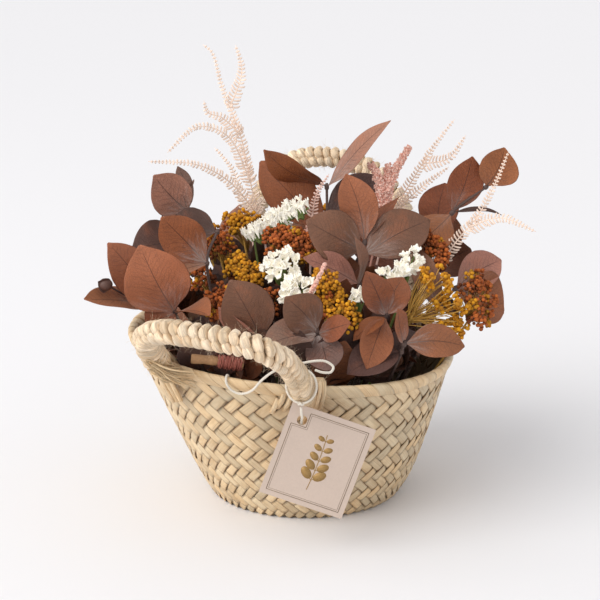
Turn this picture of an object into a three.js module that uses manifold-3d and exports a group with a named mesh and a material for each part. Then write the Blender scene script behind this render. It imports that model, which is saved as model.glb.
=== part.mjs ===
// A dried-flower arrangement in a small palm-leaf basket with two rope handles.
// Millimetres, +Z up. The origin is the middle of the basket's foot, on the surface it stands on.
// The front handle is at -Y. The flowers are set in a frame turned about Z from the handles.
import * as THREE from "three";
import { mergeVertices } from "three/addons/utils/BufferGeometryUtils.js";
import Module from "manifold-3d";

const wasm = await Module();
wasm.setup();

// ---- driving dimensions -------------------------------------------------------------------
const FLOWER_TURN = THREE.MathUtils.degToRad(17); // the flowers' frame, turned from the handles' line
const CLEAR = 0.35; // gap between pieces that touch

const FOOT_RADIUS = 63;
const RIM_RADIUS = 110;
const RIM_HEIGHT = 105;
const RIM_SHIFT = 9; // the mouth leans this far to the flowers' left
const RIM_TILT = 8; // and stands this much higher there
const WALL = 3.5;
const WEAVE_COLUMNS = 26; // strips round the wall, drawn twice life size
const WEAVE_ROWS = 7;
const WEAVE_RELIEF = 1.1;

const HANDLE_RADIUS = 8;
const HITCHES = 16; // turns of cord drawn along each handle
const HITCH_GROOVE = 1.1;
const LASHING_RADIUS = 3;
const STRING_RADIUS = 0.8;

const FOAM = { bottomRadius: 54, topRadius: 72, bottom: WALL + CLEAR, top: 60 };
const ROOT_HEIGHT = 46; // where every stem ends inside the foam
const STEM_FOCUS = -60; // stems fan out from this height on the axis
const STEM_RADIUS = 1.3;
const STEM_TIP = 2.2; // how far a stem runs past its last leaves' feet

// ---- vectors and solids -------------------------------------------------------------------
const vec = (p) => new THREE.Vector3(...p);
const asVector = (p) => (p.isVector3 ? p : vec(p));
const UP = new THREE.Vector3(0, 0, 1);

function plainCopy(geometry) {
  const plain = new THREE.BufferGeometry();
  plain.setAttribute("position", geometry.getAttribute("position"));
  return plain.setIndex(geometry.index);
}

function solidOf(geometry) {
  const merged = mergeVertices(plainCopy(geometry), 1e-4);
  const faces = new Uint32Array(merged.index.array);
  const points = merged.attributes.position.array;
  const made = new wasm.Manifold(new wasm.Mesh({ numProp: 3, vertProperties: points, triVerts: faces }));
  if (made.volume() > 0) return made;
  for (let i = 0; i < faces.length; i += 3) [faces[i], faces[i + 1]] = [faces[i + 1], faces[i]];
  return new wasm.Manifold(new wasm.Mesh({ numProp: 3, vertProperties: points, triVerts: faces }));
}

function solidFrom(points, faces) {
  const geometry = new THREE.BufferGeometry().setFromPoints(points);
  geometry.setIndex(faces);
  return solidOf(geometry);
}

const fuse = (solids) => wasm.Manifold.union(solids);

// The largest body of a union. Dust left by a cut is dropped, but a whole loose piece is an error.
function oneBody(solid) {
  const [body, ...scraps] = solid.decompose().sort((a, b) => b.volume() - a.volume());
  if (scraps.some((scrap) => scrap.volume() > 1)) throw new Error("a piece of the spray is loose");
  return body;
}

function meshOf(name, solid, material) {
  const made = solid.getMesh();
  const count = made.numProp;
  const position = new Float32Array(made.numVert * 3);
  for (let i = 0; i < made.numVert; i++)
    position.set(made.vertProperties.subarray(i * count, i * count + 3), i * 3);
  const geometry = new THREE.BufferGeometry();
  geometry.setAttribute("position", new THREE.BufferAttribute(position, 3));
  geometry.setIndex(new THREE.BufferAttribute(new Uint32Array(made.triVerts), 1));
  geometry.computeVertexNormals();
  const mesh = new THREE.Mesh(geometry, material);
  mesh.name = name;
  return mesh;
}

function tube(points, radius, sides = 5, steps = 6) {
  const section = new THREE.Shape();
  for (let i = 0; i < sides; i++) {
    const angle = (i / sides) * 2 * Math.PI;
    section[i ? "lineTo" : "moveTo"](radius * Math.cos(angle), radius * Math.sin(angle));
  }
  const extrudePath = new THREE.CatmullRomCurve3(points, false, "centripetal");
  return solidOf(new THREE.ExtrudeGeometry(section, { steps, extrudePath, bevelEnabled: false }));
}

// Rings of corners along a path, skinned and capped. reach(ring, corner) is the corner's radius.
function ringTube(centres, reach, sides) {
  const corners = [];
  const faces = [];
  const last = centres.length - 1;
  const side = new THREE.Vector3(0.31, 0.87, 0.12);
  centres.forEach((centre, k) => {
    const forward = centres[Math.min(k + 1, last)].clone().sub(centres[Math.max(k - 1, 0)]).normalize();
    side.addScaledVector(forward, -side.dot(forward)).normalize();
    const across = forward.clone().cross(side);
    for (let i = 0; i < sides; i++) {
      const angle = (i / sides) * 2 * Math.PI;
      const corner = centre.clone().addScaledVector(side, reach(k, i) * Math.cos(angle));
      corners.push(corner.addScaledVector(across, reach(k, i) * Math.sin(angle)));
    }
  });
  for (let k = 0; k < last; k++)
    for (let i = 0; i < sides; i++) {
      const a = k * sides + i;
      const b = k * sides + ((i + 1) % sides);
      if ((k + i) % 2) faces.push(a, b, b + sides, a, b + sides, a + sides);
      else faces.push(a, b, a + sides, b, b + sides, a + sides);
    }
  for (let i = 1; i < sides - 1; i++) {
    const end = last * sides;
    faces.push(0, i + 1, i, end, end + i, end + i + 1);
  }
  return solidFrom(corners, faces);
}

// Straight lengths joined end to end.
const chain = (points, radius, sides) => ringTube(points, () => radius, sides);

const evenLength = (points) => new THREE.CatmullRomCurve3(points, false, "centripetal").getLength();

function evenPoints(points, steps) {
  return new THREE.CatmullRomCurve3(points, false, "centripetal").getSpacedPoints(steps);
}

// ---- basket -------------------------------------------------------------------------------
// Angles round the basket are in the part's own frame: -90 degrees is the front handle.
function rimPoint(angle) {
  const seen = angle - FLOWER_TURN;
  const radius = RIM_RADIUS - 2 * Math.cos(2 * seen);
  const z = RIM_HEIGHT - RIM_TILT * Math.cos(seen) - Math.cos(2 * seen);
  const shift = outward(FLOWER_TURN).multiplyScalar(-RIM_SHIFT);
  return new THREE.Vector3(radius * Math.cos(angle), radius * Math.sin(angle), z).add(shift);
}

const outward = (angle) => new THREE.Vector3(Math.cos(angle), Math.sin(angle), 0);

// height: 0 at the foot's edge, 1 at the rim; out: how far outside the wall's skin.
function wallPoint(angle, height, out = 0) {
  const seen = angle - FLOWER_TURN;
  const bulge = 6 * Math.sin(Math.PI * Math.sqrt(Math.min(height, 1))) * (0.7 + 0.3 * Math.cos(seen));
  const foot = outward(angle).multiplyScalar(FOOT_RADIUS);
  return foot.lerp(rimPoint(angle), height).addScaledVector(outward(angle), bulge + out);
}

// One skin of rings joined in turn: the woven outside, the rolled rim, then the plain inside.
function basketSolid() {
  const columns = 2 * WEAVE_COLUMNS;
  const rings = [];
  const ring = (place) => rings.push(Array.from({ length: columns }, (_, i) => place(i)));
  for (let row = 0; row <= WEAVE_ROWS; row++)
    ring((i) => {
      const slant = (row % 2) * 1.0; // each row of strips leans the other way
      const angle = ((i + slant) / columns) * 2 * Math.PI;
      const relief = row === 0 || row === WEAVE_ROWS || i % 2 ? 0 : -WEAVE_RELIEF;
      const p = wallPoint(angle, (row / WEAVE_ROWS) * 0.95, relief);
      return row ? p : p.setZ(0);
    });
  const across = (height, out) =>
    ring((i) => wallPoint(((i + (WEAVE_ROWS % 2)) / columns) * 2 * Math.PI, height, out));
  across(0.99, -0.4);
  across(0.99, -WALL + 0.4);
  across(0.5, -WALL);
  ring((i) => {
    const angle = ((i + (WEAVE_ROWS % 2)) / columns) * 2 * Math.PI;
    return wallPoint(angle, 0.06, -WALL).setZ(WALL);
  });
  const points = rings.flat();
  const faces = [];
  for (let r = 0; r + 1 < rings.length; r++)
    for (let i = 0; i < columns; i++) {
      const a = r * columns + i;
      const b = r * columns + ((i + 1) % columns);
      const straight = r >= WEAVE_ROWS || r % 2 === 0;
      if (straight) faces.push(a, b, a + columns, b, b + columns, a + columns);
      else faces.push(a, b, b + columns, a, b + columns, a + columns);
    }
  const middles = [points.length, points.length + 1];
  points.push(new THREE.Vector3(0, 0, 0), new THREE.Vector3(0, 0, WALL));
  const last = (rings.length - 1) * columns;
  for (let i = 0; i < columns; i++) {
    const j = (i + 1) % columns;
    faces.push(middles[0], j, i, middles[1], last + i, last + j);
  }
  return solidFrom(points, faces);
}

// ---- handles ------------------------------------------------------------------------------
// A rope arch whose two feet lie on the outside of the wall, just under the rim. It leans out from
// the way it faces, turned by swing. The powers in full square its shoulders and flatten its crown.
function handlePath({ facing, swing, rise, lean, feet, drop, reach, full }) {
  const degrees = THREE.MathUtils.degToRad;
  const ends = feet.map((turn) => {
    const angle = degrees(facing + turn);
    return rimPoint(angle).addScaledVector(outward(angle), reach).addScaledVector(UP, -drop);
  });
  const leaning = outward(degrees(facing + swing)).multiplyScalar(Math.sin(degrees(lean)));
  leaning.addScaledVector(UP, Math.cos(degrees(lean)));
  const middle = ends[0].clone().add(ends[1]).divideScalar(2);
  const half = ends[1].clone().sub(ends[0]).divideScalar(2);
  const points = [ends[0]];
  for (let k = -3; k <= 3; k++) {
    const angle = (k / 4) * (Math.PI / 2);
    const along = Math.sign(k) * Math.abs(Math.sin(angle)) ** full[0];
    const high = rise * Math.cos(angle) ** full[1];
    points.push(middle.clone().addScaledVector(half, along).addScaledVector(leaning, high));
  }
  return [...points, ends[1]];
}

// A cord hitched round a core: rings that swell and narrow in turn.
function hitchedRope(points) {
  const swell = (k) => HANDLE_RADIUS - (k % 2 ? 0 : HITCH_GROOVE);
  return ringTube(evenPoints(points, 2 * HITCHES), swell, 8);
}

const FRONT_HANDLE = {
  facing: -90, swing: 8, rise: 85, lean: 55.4, full: [0.6, 0.5],
  feet: [-27, 21.4], drop: 1.5, reach: 4.6, beside: 4,
};
const BACK_HANDLE = {
  facing: 94, swing: 0, rise: 107, lean: 9, full: [0.8, 0.75],
  feet: [-36, 30], drop: 4, reach: 6.4, beside: 5,
};

// A short rope beside a handle's foot: up the outside at a slant, over the rim, and down inside.
function lashing(handle, foot) {
  const gap = LASHING_RADIUS + CLEAR;
  const sign = foot ? 1 : -1;
  const at = (turn, height, out, up = 0) => {
    const bearing = handle.facing + handle.feet[foot] + sign * (handle.beside + turn);
    const angle = THREE.MathUtils.degToRad(bearing);
    return wallPoint(angle, height, out).addScaledVector(UP, up);
  };
  return tube([
    at(-3.4, 0.76, gap + 1),
    at(-1.4, 0.88, gap + 0.4),
    at(-0.2, 1.0, gap + 0.2),
    at(0, 1.0, -WALL / 2, gap + 1.2),
    at(0, 1.0, -WALL - gap),
    at(0, 0.88, -WALL - gap - 0.4),
    at(0, 0.76, -WALL - gap - 1),
  ], LASHING_RADIUS, 6, 9);
}

// ---- tag and its string, set in the flowers' frame ----------------------------------------
const TAG = { width: 53.5, height: 61.5, thick: 0.6, holeRadius: 3.2, holeInset: 9.2, turn: -19.8 };
const TAG_HOLE = vec([-1.7, -122, 88.4]);

function tagSolid() {
  const { width, height, thick, holeRadius, holeInset } = TAG;
  const card = new THREE.Shape();
  card.moveTo(-holeInset, holeInset);
  card.lineTo(width - holeInset, holeInset);
  card.lineTo(width - holeInset, holeInset - height);
  card.lineTo(-holeInset, holeInset - height);
  const hole = new THREE.Path();
  hole.absarc(0, 0, holeRadius, 0, 2 * Math.PI);
  card.holes.push(hole);
  const geometry = new THREE.ExtrudeGeometry(card, { depth: thick, bevelEnabled: false, curveSegments: 12 });
  geometry.translate(0, 0, -thick / 2);
  geometry.rotateZ(THREE.MathUtils.degToRad(TAG.turn));
  geometry.rotateX(Math.PI / 2);
  geometry.translate(...TAG_HOLE);
  return solidOf(geometry);
}

// The free end: tucked in behind the rim, a drooping bight, behind the handle, a bow loop.
const BOW_PATH = [
  [-47, -99.4, 107.5], [-47.3, -101.8, 110.4], [-48, -105.2, 110.6], [-48, -107, 107.5], [-45.5, -106.6, 103],
  [-41, -106.6, 100.4], [-37, -108.2, 100.8], [-32, -111.5, 104], [-26, -116, 112], [-18, -120.4, 119.3],
  [-9, -121.4, 122.8], [-1, -121.2, 124.4], [6, -120.4, 125.4], [12.5, -118.8, 124.6], [17, -119, 121.2],
  [15.5, -121.6, 118.8], [10.5, -123.4, 119.2], [6, -124.4, 121],
].map(vec);

// From the knot down to the card, through its hole, and a tail behind it.
const LINK_PATH = [
  [-2.4, -129.5, 99.1], [-2.3, -128.8, 96.4], [-2.1, -127, 93.8], [-1.8, -124.9, 91.6], [-1.7, -123, 90.4],
  [-1.7, -121.4, 90.3], [-1.9, -120, 88.8], [-2.2, -119.6, 85.5], [-2.1, -119.6, 76], [-1.6, -119.8, 68],
].map(vec);

const TIE = { middle: 14.5, slant: 5 }; // millimetres along the rope from its end

// A turn of string round the handle's right foot, lower in front, closed by its knot.
function stringTie() {
  const curve = new THREE.CatmullRomCurve3(handlePath(FRONT_HANDLE), false, "centripetal");
  const length = curve.getLength();
  const reach = HANDLE_RADIUS + CLEAR + STRING_RADIUS;
  const onRing = (angle) => {
    const share = 1 - (TIE.middle - TIE.slant * Math.cos(angle)) / length;
    const forward = curve.getTangentAt(share);
    const side = forward.clone().cross(UP).normalize();
    const below = forward.clone().cross(side).normalize();
    const point = curve.getPointAt(share).addScaledVector(below, reach * Math.cos(angle));
    return point.addScaledVector(side, reach * Math.sin(angle));
  };
  const turns = Array.from({ length: 17 }, (_, k) => onRing(((k + 0.5) / 17) * 2 * Math.PI));
  const knot = new THREE.IcosahedronGeometry(STRING_RADIUS * 2.4, 0).translate(...onRing(0));
  return fuse([ringTube(turns, () => STRING_RADIUS, 6), solidOf(knot)]);
}

// ---- leaves, needles, florets -------------------------------------------------------------
const LEAF_OUTLINE = [[0.14, 0.08], [0.33, 0.86], [0.6, 0.96], [0.87, 0.5]]; // share along, half width
const LEAF_THICK = 1.2;

// A broad leaf: thick along its rib, thin at its edge, arched lengthways and cupped across.
function leaf({ at, tip, wide, face, arch = 0.06, cup = 0.16 }) {
  const along = tip.clone().sub(at);
  const length = along.length();
  along.normalize();
  const normal = face.clone().addScaledVector(along, -face.dot(along)).normalize();
  const side = along.clone().cross(normal);
  const points = [at.clone().addScaledVector(along, -1.2)];
  for (const [share, half] of LEAF_OUTLINE) {
    const rib = at.clone().addScaledVector(along, share * length);
    rib.addScaledVector(normal, arch * length * Math.sin(Math.PI * share));
    const reach = (wide / 2) * half;
    const edge = (sign) =>
      rib.clone().addScaledVector(side, sign * reach).addScaledVector(normal, cup * reach);
    const lift = (sign) => rib.clone().addScaledVector(normal, (sign * LEAF_THICK) / 2);
    points.push(edge(-1), lift(1), lift(-1), edge(1));
  }
  points.push(tip);
  const end = points.length - 1;
  const faces = [];
  for (const [middle, turn] of [[2, false], [3, true]]) {
    const add = (a, b, c) => (turn ? faces.push(a, c, b) : faces.push(a, b, c));
    add(0, 1, middle);
    add(0, middle, 4);
    for (let k = 0; k < LEAF_OUTLINE.length - 1; k++) {
      const [l, m, r] = [1 + 4 * k, middle + 4 * k, 4 + 4 * k];
      add(l, l + 4, m + 4);
      add(l, m + 4, m);
      add(m, m + 4, r + 4);
      add(m, r + 4, r);
    }
    const base = 4 * (LEAF_OUTLINE.length - 1);
    add(1 + base, end, middle + base);
    add(middle + base, end, 4 + base);
  }
  return solidFrom(points, faces);
}

// A frond's branch: a square rib with a row of flat needles cut along each side.
function comb({ path, needle, pitch = 6.8, face, rib = 0.8 }) {
  const curve = new THREE.CatmullRomCurve3(path, false, "centripetal");
  const cells = Math.max(3, Math.round(curve.getLength() / pitch));
  const points = [];
  const faces = [];
  const frameAt = (share) => {
    const forward = curve.getTangentAt(share);
    const side = forward.clone().cross(face).normalize();
    return { centre: curve.getPointAt(share), forward, side, up: side.clone().cross(forward) };
  };
  for (let k = 0; k <= cells; k++) {
    const { centre, side, up } = frameAt(k / cells);
    const r = rib * (1 - 0.45 * (k / cells));
    for (const [s, u] of [[-1, 1], [1, 1], [1, -1], [-1, -1]])
      points.push(centre.clone().addScaledVector(side, s * r).addScaledVector(up, u * r));
  }
  for (let k = 0; k < cells; k++) {
    const a = 4 * k;
    faces.push(a, a + 1, a + 4, a + 1, a + 5, a + 4);
    faces.push(a + 2, a + 3, a + 6, a + 3, a + 7, a + 6);
    const share = (k + 0.5) / cells;
    const { centre, forward, side } = frameAt(share);
    const reach = needle * (1 - 0.75 * share ** 1.6);
    for (const [sign, i, j] of [[-1, 3, 0], [1, 1, 2]]) {
      const point = centre.clone().addScaledVector(side, sign * reach);
      const t = points.push(point.addScaledVector(forward, reach * 0.35)) - 1;
      const [p, q, r, s] = [a + i, a + j, a + j + 4, a + i + 4];
      faces.push(p, q, t, q, r, t, r, s, t, s, p, t);
    }
  }
  faces.push(0, 2, 1, 0, 3, 2);
  const e = 4 * cells;
  const tip = curve.getPointAt(1).addScaledVector(curve.getTangentAt(1), 2);
  const t = points.push(tip) - 1;
  faces.push(e, e + 1, t, e + 1, e + 2, t, e + 2, e + 3, t, e + 3, e, t);
  return solidFrom(points, faces);
}

// A dense head: a ball whose grains are raised from its surface, one at each peak of the mesh.
function head({ at, size, out, fine = 2, raise = 0.24 }) {
  const ball = mergeVertices(plainCopy(new THREE.IcosahedronGeometry(1, fine)), 1e-4);
  const points = ball.attributes.position;
  const peaks = new THREE.IcosahedronGeometry(1, 0);
  const corners = peaks.attributes.position;
  const tops = [];
  for (let i = 0; i < corners.count; i += 3) {
    const face = [0, 1, 2].map((k) => new THREE.Vector3().fromBufferAttribute(corners, i + k));
    tops.push(...face);
    if (fine === 2) tops.push(face[0].clone().add(face[1]).add(face[2]).normalize());
  }
  const turn = new THREE.Quaternion().setFromUnitVectors(UP, out.clone().normalize());
  const radii = vec(size);
  for (let i = 0; i < points.count; i++) {
    const p = new THREE.Vector3().fromBufferAttribute(points, i);
    const isTop = tops.some((top) => top.distanceTo(p) < 1e-3);
    p.multiplyScalar(isTop ? 1 + raise / 2 : 1 - raise / 2).multiply(radii).applyQuaternion(turn).add(at);
    points.setXYZ(i, p.x, p.y, p.z);
  }
  return solidOf(ball);
}

// ---- stems in the foam --------------------------------------------------------------------
// The stems fan out, so each one's root lies on the line from a point deep under the basket.
function rootUnder(p) {
  const focus = new THREE.Vector3(0, 0, STEM_FOCUS);
  return focus.lerp(p, (ROOT_HEIGHT - STEM_FOCUS) / (p.z - STEM_FOCUS));
}

const stemHoles = [];

function stem(path, radius = STEM_RADIUS) {
  const root = rootUnder(path[0]);
  const fan = path[0].clone().sub(root).normalize();
  const low = root.clone().addScaledVector(fan, -2);
  const high = root.clone().addScaledVector(fan, (FOAM.top + 4 - ROOT_HEIGHT) / fan.z);
  const hole = new THREE.CylinderGeometry(radius + 0.6, radius + 0.6, low.distanceTo(high), 4, 1);
  hole.applyQuaternion(new THREE.Quaternion().setFromUnitVectors(new THREE.Vector3(0, 1, 0), fan));
  hole.translate(...low.add(high).divideScalar(2));
  stemHoles.push(solidOf(hole));
  return chain([root, ...path], radius, 5);
}

function foamSolid() {
  const { bottomRadius, topRadius, bottom, top } = FOAM;
  const outline = [[0, bottom], [bottomRadius, bottom], [topRadius, top - 4], [topRadius - 4, top], [0, top]];
  const profile = outline.map(([x, y]) => new THREE.Vector2(x, y));
  const geometry = new THREE.LatheGeometry(profile, 20);
  geometry.rotateX(Math.PI / 2);
  return solidOf(geometry).subtract(fuse(stemHoles));
}

// ---- what grows where ---------------------------------------------------------------------
// Flowers' frame, in millimetres: X right, Y away, Z up. A leaf is [foot, tip, width, facing].
const EUCALYPTUS = [
  { stem: [[-97, -60, 144]], bud: [[-123, -80, 162], 4.6], leaves: [
    [[-97, -60, 144], [-122, -70, 186], 28, [0.5, -0.8, 0.2]],
    [[-97, -60, 144], [-135, -92, 156], 22, [0, -0.6, 0.9]]] },
  { stem: [[-81, -73, 142]], leaves: [
    [[-81, -73, 142], [-101, -84, 188], 42, [0.1, -1, 0.1]],
    [[-81, -73, 141], [-58, -94, 146], 22, [0.2, -0.3, 1]],
    [[-82, -73, 141], [-98, -90, 141], 20, [-0.2, -0.5, 1]]] },
  { stem: [[-62, -48, 167], [-56, -32, 184]], leaves: [
    [[-62, -49, 168], [-89, -64, 201], 28, [-0.1, -0.9, 0.4]],
    [[-61, -48, 167], [-83, -68, 165], 17, [0, -0.4, 1]],
    [[-56, -32, 184], [-84, -36, 194], 24, [0, -0.7, 0.7]]] },
  { stem: [[-74, -24, 176], [-75, -21, 195]], leaves: [
    [[-75, -22, 195], [-96, -32, 221], 28, [0.2, -1, 0.2]],
    [[-76, -21, 196], [-82, -12, 223], 17, [0.9, -0.5, 0]],
    [[-74, -21, 195], [-72, -6, 213], 14, [-0.9, -0.6, 0]],
    [[-74, -24, 176], [-110, -42, 175], 34, [-0.3, -0.9, 0.4]]] },
  { stem: [[15, 22, 172], [15, 30, 201]], leaves: [
    [[14, 30, 201], [-27, 18, 228], 26, [-0.3, -0.7, -0.6]],
    [[15, 30, 200], [57, 22, 247], 20, [-0.6, -0.5, 0.6]],
    [[14, 22, 173], [-30, 40, 216], 34, [0.3, -0.9, 0.3]],
    [[15, 24, 177], [50, 53, 204], 30, [-0.2, -0.9, 0.3]]] },
  { stem: [[35, -36, 148], [39, -18, 174]], leaves: [
    [[39, -18, 175], [27, -8, 217], 26, [0.1, -1, 0.1]],
    [[38, -19, 168], [1, -30, 191], 34, [0, -0.9, 0.45]],
    [[38, -22, 166], [82, -6, 186], 32, [0, -0.9, 0.5]],
    [[40, -18, 173], [62, 8, 198], 20, [-0.7, -0.3, 0.6]],
    [[35, -37, 150], [32, -42, 183], 18, [0.9, -0.4, 0]],
    [[35, -36, 151], [-1, -44, 170], 20, [0, -0.7, 0.7]]] },
  { stem: [[90, 32, 164], [99, 24, 184], [121, 22, 202]], leaves: [
    [[90, 32, 165], [96, 46, 200], 28, [-0.1, -1, 0.2]],
    [[99, 24, 184], [111, 16, 224], 25, [0.2, -1, 0.1]],
    [[99, 23, 183], [66, -2, 163], 32, [-0.2, -0.8, 0.6]],
    [[121, 22, 202], [132, 16, 230], 27, [0.1, -1, 0.1]],
    [[100, 25, 184], [133, 26, 182], 5, [0, -0.6, 1]]] },
  { stem: [[88, -26, 132], [100, -6, 140]], leaves: [
    [[88, -26, 133], [73, -12, 168], 18, [-0.2, -0.9, 0.3]],
    [[100, -6, 140], [132, 14, 154], 26, [0.3, -0.8, 0.5]],
    [[99, -7, 139], [134, 6, 120], 36, [0.5, -0.8, 0.4]]] },
  { stem: [[-27, -79, 126]], leaves: [
    [[-27, -79, 127], [-46, -88, 167], 34, [0.1, -1, 0.2]],
    [[-28, -79, 124], [-53, -88, 150], 14, [-0.7, -0.6, 0.3]]] },
  { stem: [[8, -82, 131], [6, -76, 148]], leaves: [
    [[8, -82, 132], [-12, -94, 158], 27, [-0.1, -0.9, 0.5]],
    [[8, -82, 130], [-25, -102, 129], 26, [-0.2, -0.6, 0.9]],
    [[8, -82, 131], [28, -96, 142], 18, [0.2, -0.8, 0.6]],
    [[8, -82, 129], [14, -102, 113], 24, [0.1, -0.9, 0.4]]] },
  { stem: [[51, -67, 138]], leaves: [
    [[51, -67, 139], [38, -74, 169], 20, [0.2, -1, 0.1]],
    [[51, -67, 139], [62, -58, 161], 23, [-0.2, -1, 0.2]],
    [[51, -68, 137], [38, -94, 112], 22, [0.3, -0.8, 0.4]],
    [[50, -68, 137], [30, -84, 127], 12, [-0.4, -0.7, 0.5]]] },
  { stem: [[60, -76, 116], [62, -80, 124]], leaves: [
    [[62, -80, 123], [57, -88, 149], 15, [0.8, -0.6, 0]],
    [[62, -80, 124], [100, -76, 121], 23, [0, -0.8, 0.6]],
    [[60, -76, 118], [26, -92, 108], 26, [0, -0.6, 0.8]]] },
  { stem: [[-50, -74, 119]], leaves: [
    [[-50, -74, 120], [-79, -88, 127], 20, [-0.1, -0.6, 0.8]],
    [[-50, -75, 119], [-26, -84, 118], 18, [0, -0.6, 0.8]]] },
];

// At the back the sprays repeat by rule: [bearing, height, reach].
const BACK_SPRAYS = [
  [22, 142, 98], [60, 137, 75], [89, 129, 88], [119, 142, 76], [145, 140, 98], [172, 150, 82],
];

function backSpray([bearing, height, reach]) {
  const angle = THREE.MathUtils.degToRad(bearing);
  const out = outward(angle);
  const across = outward(angle + Math.PI / 2);
  const place = (o, a, z) => out.clone().multiplyScalar(reach + o).addScaledVector(across, a).setZ(height + z);
  const [low, middle, top] = [place(-14, 0, -16), place(-6, 0, -6), place(0, 0, 4)];
  const facing = out.clone().addScaledVector(UP, 0.35);
  return { stem: [low, top], leaves: [
    [top, place(13, 3, 36), 30, facing],
    [middle, place(8, 30, 14), 28, facing],
    [place(-3, 0, -1), place(10, -30, 20), 28, facing],
    [low, place(6, 24, -30), 26, facing],
    [place(-12, 0, -13), place(8, -20, -32), 24, facing]] };
}

// Clustered heads: [middle, radii]. The second head of a spray forks from its stem.
const RUST_SPRAYS = [
  [[[-56, -14, 173], [12, 12, 9]], [[-67, -38, 160], [9, 9, 7]]],
  [[[-52, -62, 144], [11, 11, 9]], [[-26, -62, 138], [9, 9, 8]]],
  [[[-9, -28, 175], [14, 12, 9]]],
  [[[94, -14, 163], [9, 9, 8]]],
  [[[112, -32, 138], [12, 12, 9]]],
  [[[-10, 62, 158], [12, 12, 10]]],
];
const YELLOW_SPRAYS = [
  [[[-41, 8, 179], [10, 10, 8]], [[-38, -42, 160], [12, 12, 8]]],
  [[[22, -72, 141], [12, 12, 9]], [[13, -60, 153], [8, 8, 7]]],
  [[[18, 64, 172], [12, 12, 9]]],
  [[[-66, 32, 166], [13, 13, 9]]],
];
// The open spray on the right: bare stalks that fan out, each with a small bunch at its end.
const OPEN_SPRAY = { fork: [64, -38, 124], ends: [
  [86, -40, 153], [98, -44, 147], [104, -46, 137], [99, -50, 126], [84, -48, 140], [77, -40, 158],
  [110, -42, 150], [92, -32, 162]], size: 4.6 };
const STATICE = [
  [[[-33, -10, 179], [8, 8, 8]], [[-18, -6, 188], [8, 8, 8]], [[-5, -2, 194], [8, 8, 7]]],
  [[[-15, -52, 166], [9, 9, 8]], [[-5, -63, 154], [9, 9, 8]]],
  [[[69, -36, 167], [7, 7, 7]], [[57, -45, 158], [7, 7, 6]]],
  [[[36, -58, 148], [6, 6, 6]]],
  [[[72, 48, 164], [9, 9, 8]]],
  [[[-20, 42, 172], [10, 10, 8]]],
];
const SPIKES = [
  { thick: 5, paths: [
    [[49, 26, 168], [58, 30, 205], [69, 32, 226]],
    [[52, 27, 182], [50, 27, 205], [45, 26, 216]]] },
  { thick: 2.4, paths: [[[-1, -72, 146], [5, -76, 158], [12, -82, 175]]] },
  { thick: 4.6, paths: [[[2, 78, 146], [4, 80, 162], [6, 80, 176]]] },
];
// Fronds: the needles' length, then branches as lists of points.
const FRONDS = [
  { needle: 6, branches: [
    [[-27, 20, 168], [-35, 14, 203], [-42, 10, 239], [-54, 10, 272], [-60, 12, 293], [-66, 14, 298]],
    [[-36, 13, 208], [-50, 2, 240], [-69, -8, 248], [-88, -18, 233]],
    [[-42, 10, 240], [-54, 4, 252], [-63, 0, 256], [-65, -2, 264]],
    [[-48, 10, 258], [-41, 16, 280], [-45, 20, 297]],
    [[-30, 17, 184], [-50, 0, 211], [-70, -12, 224], [-100, -22, 228]]] },
  { needle: 6, branches: [
    [[58, 44, 176], [71, 42, 199], [86, 42, 224], [101, 44, 244]],
    [[80, 42, 214], [97, 36, 219], [108, 34, 235]],
    [[60, 44, 180], [80, 36, 200], [97, 32, 214]]] },
  { needle: 6, branches: [
    [[90, 8, 152], [101, 3, 170], [114, -1, 188], [125, -5, 212], [132, -8, 232]],
    [[108, 1, 180], [128, -8, 188], [150, -18, 181]]] },
  { needle: 4, branches: [[[5, 12, 184], [8, 9, 200], [16, 2, 215]]] },
  { needle: 6, branches: [
    [[-36, 50, 160], [-42, 56, 184], [-50, 64, 206], [-62, 70, 220]],
    [[-39, 53, 172], [-28, 64, 184], [-22, 74, 192]]] },
];

// ---- colours ------------------------------------------------------------------------------
const finish = (color, roughness = 0.85) => new THREE.MeshStandardMaterial({ color, roughness, metalness: 0 });
const PALM = finish(0xd9bf8e, 0.7);
const ROPE = finish(0xdccaa4);
const FOAM_BROWN = finish(0x5d4a37, 0.95);
const CARD = finish(0xd6c6bc, 0.8);
const COTTON = finish(0xe6ddcf);
const LEAF_BROWN = finish(0x8a4f36, 0.6);
const RUST = finish(0xa2501b);
const GOLD = finish(0xc8860f);
const CREAM = finish(0xf0ecdc);
const ROSE = finish(0xc98c80);
const BLUSH = finish(0xe3bfa4);
const BARK = finish(0x7a4a3c);

// ---- assembly -----------------------------------------------------------------------------
const part = new THREE.Group();
const flowers = new THREE.Group();
flowers.rotation.z = FLOWER_TURN;
part.add(flowers);

const numbered = (name, i) => name + "_" + String(i + 1).padStart(2, "0");
const awayFromMiddle = (p) => p.clone().sub(new THREE.Vector3(0, 0, 95));

// The nearest point of a stem's path to a leaf's foot, so that every leaf is rooted in its stem.
function nearestOn(path, p) {
  let best = path[0];
  for (let i = 0; i + 1 < path.length; i++) {
    const near = new THREE.Line3(path[i], path[i + 1]).closestPointToPoint(p, true, new THREE.Vector3());
    if (near.distanceTo(p) < best.distanceTo(p)) best = near;
  }
  return best;
}

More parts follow.
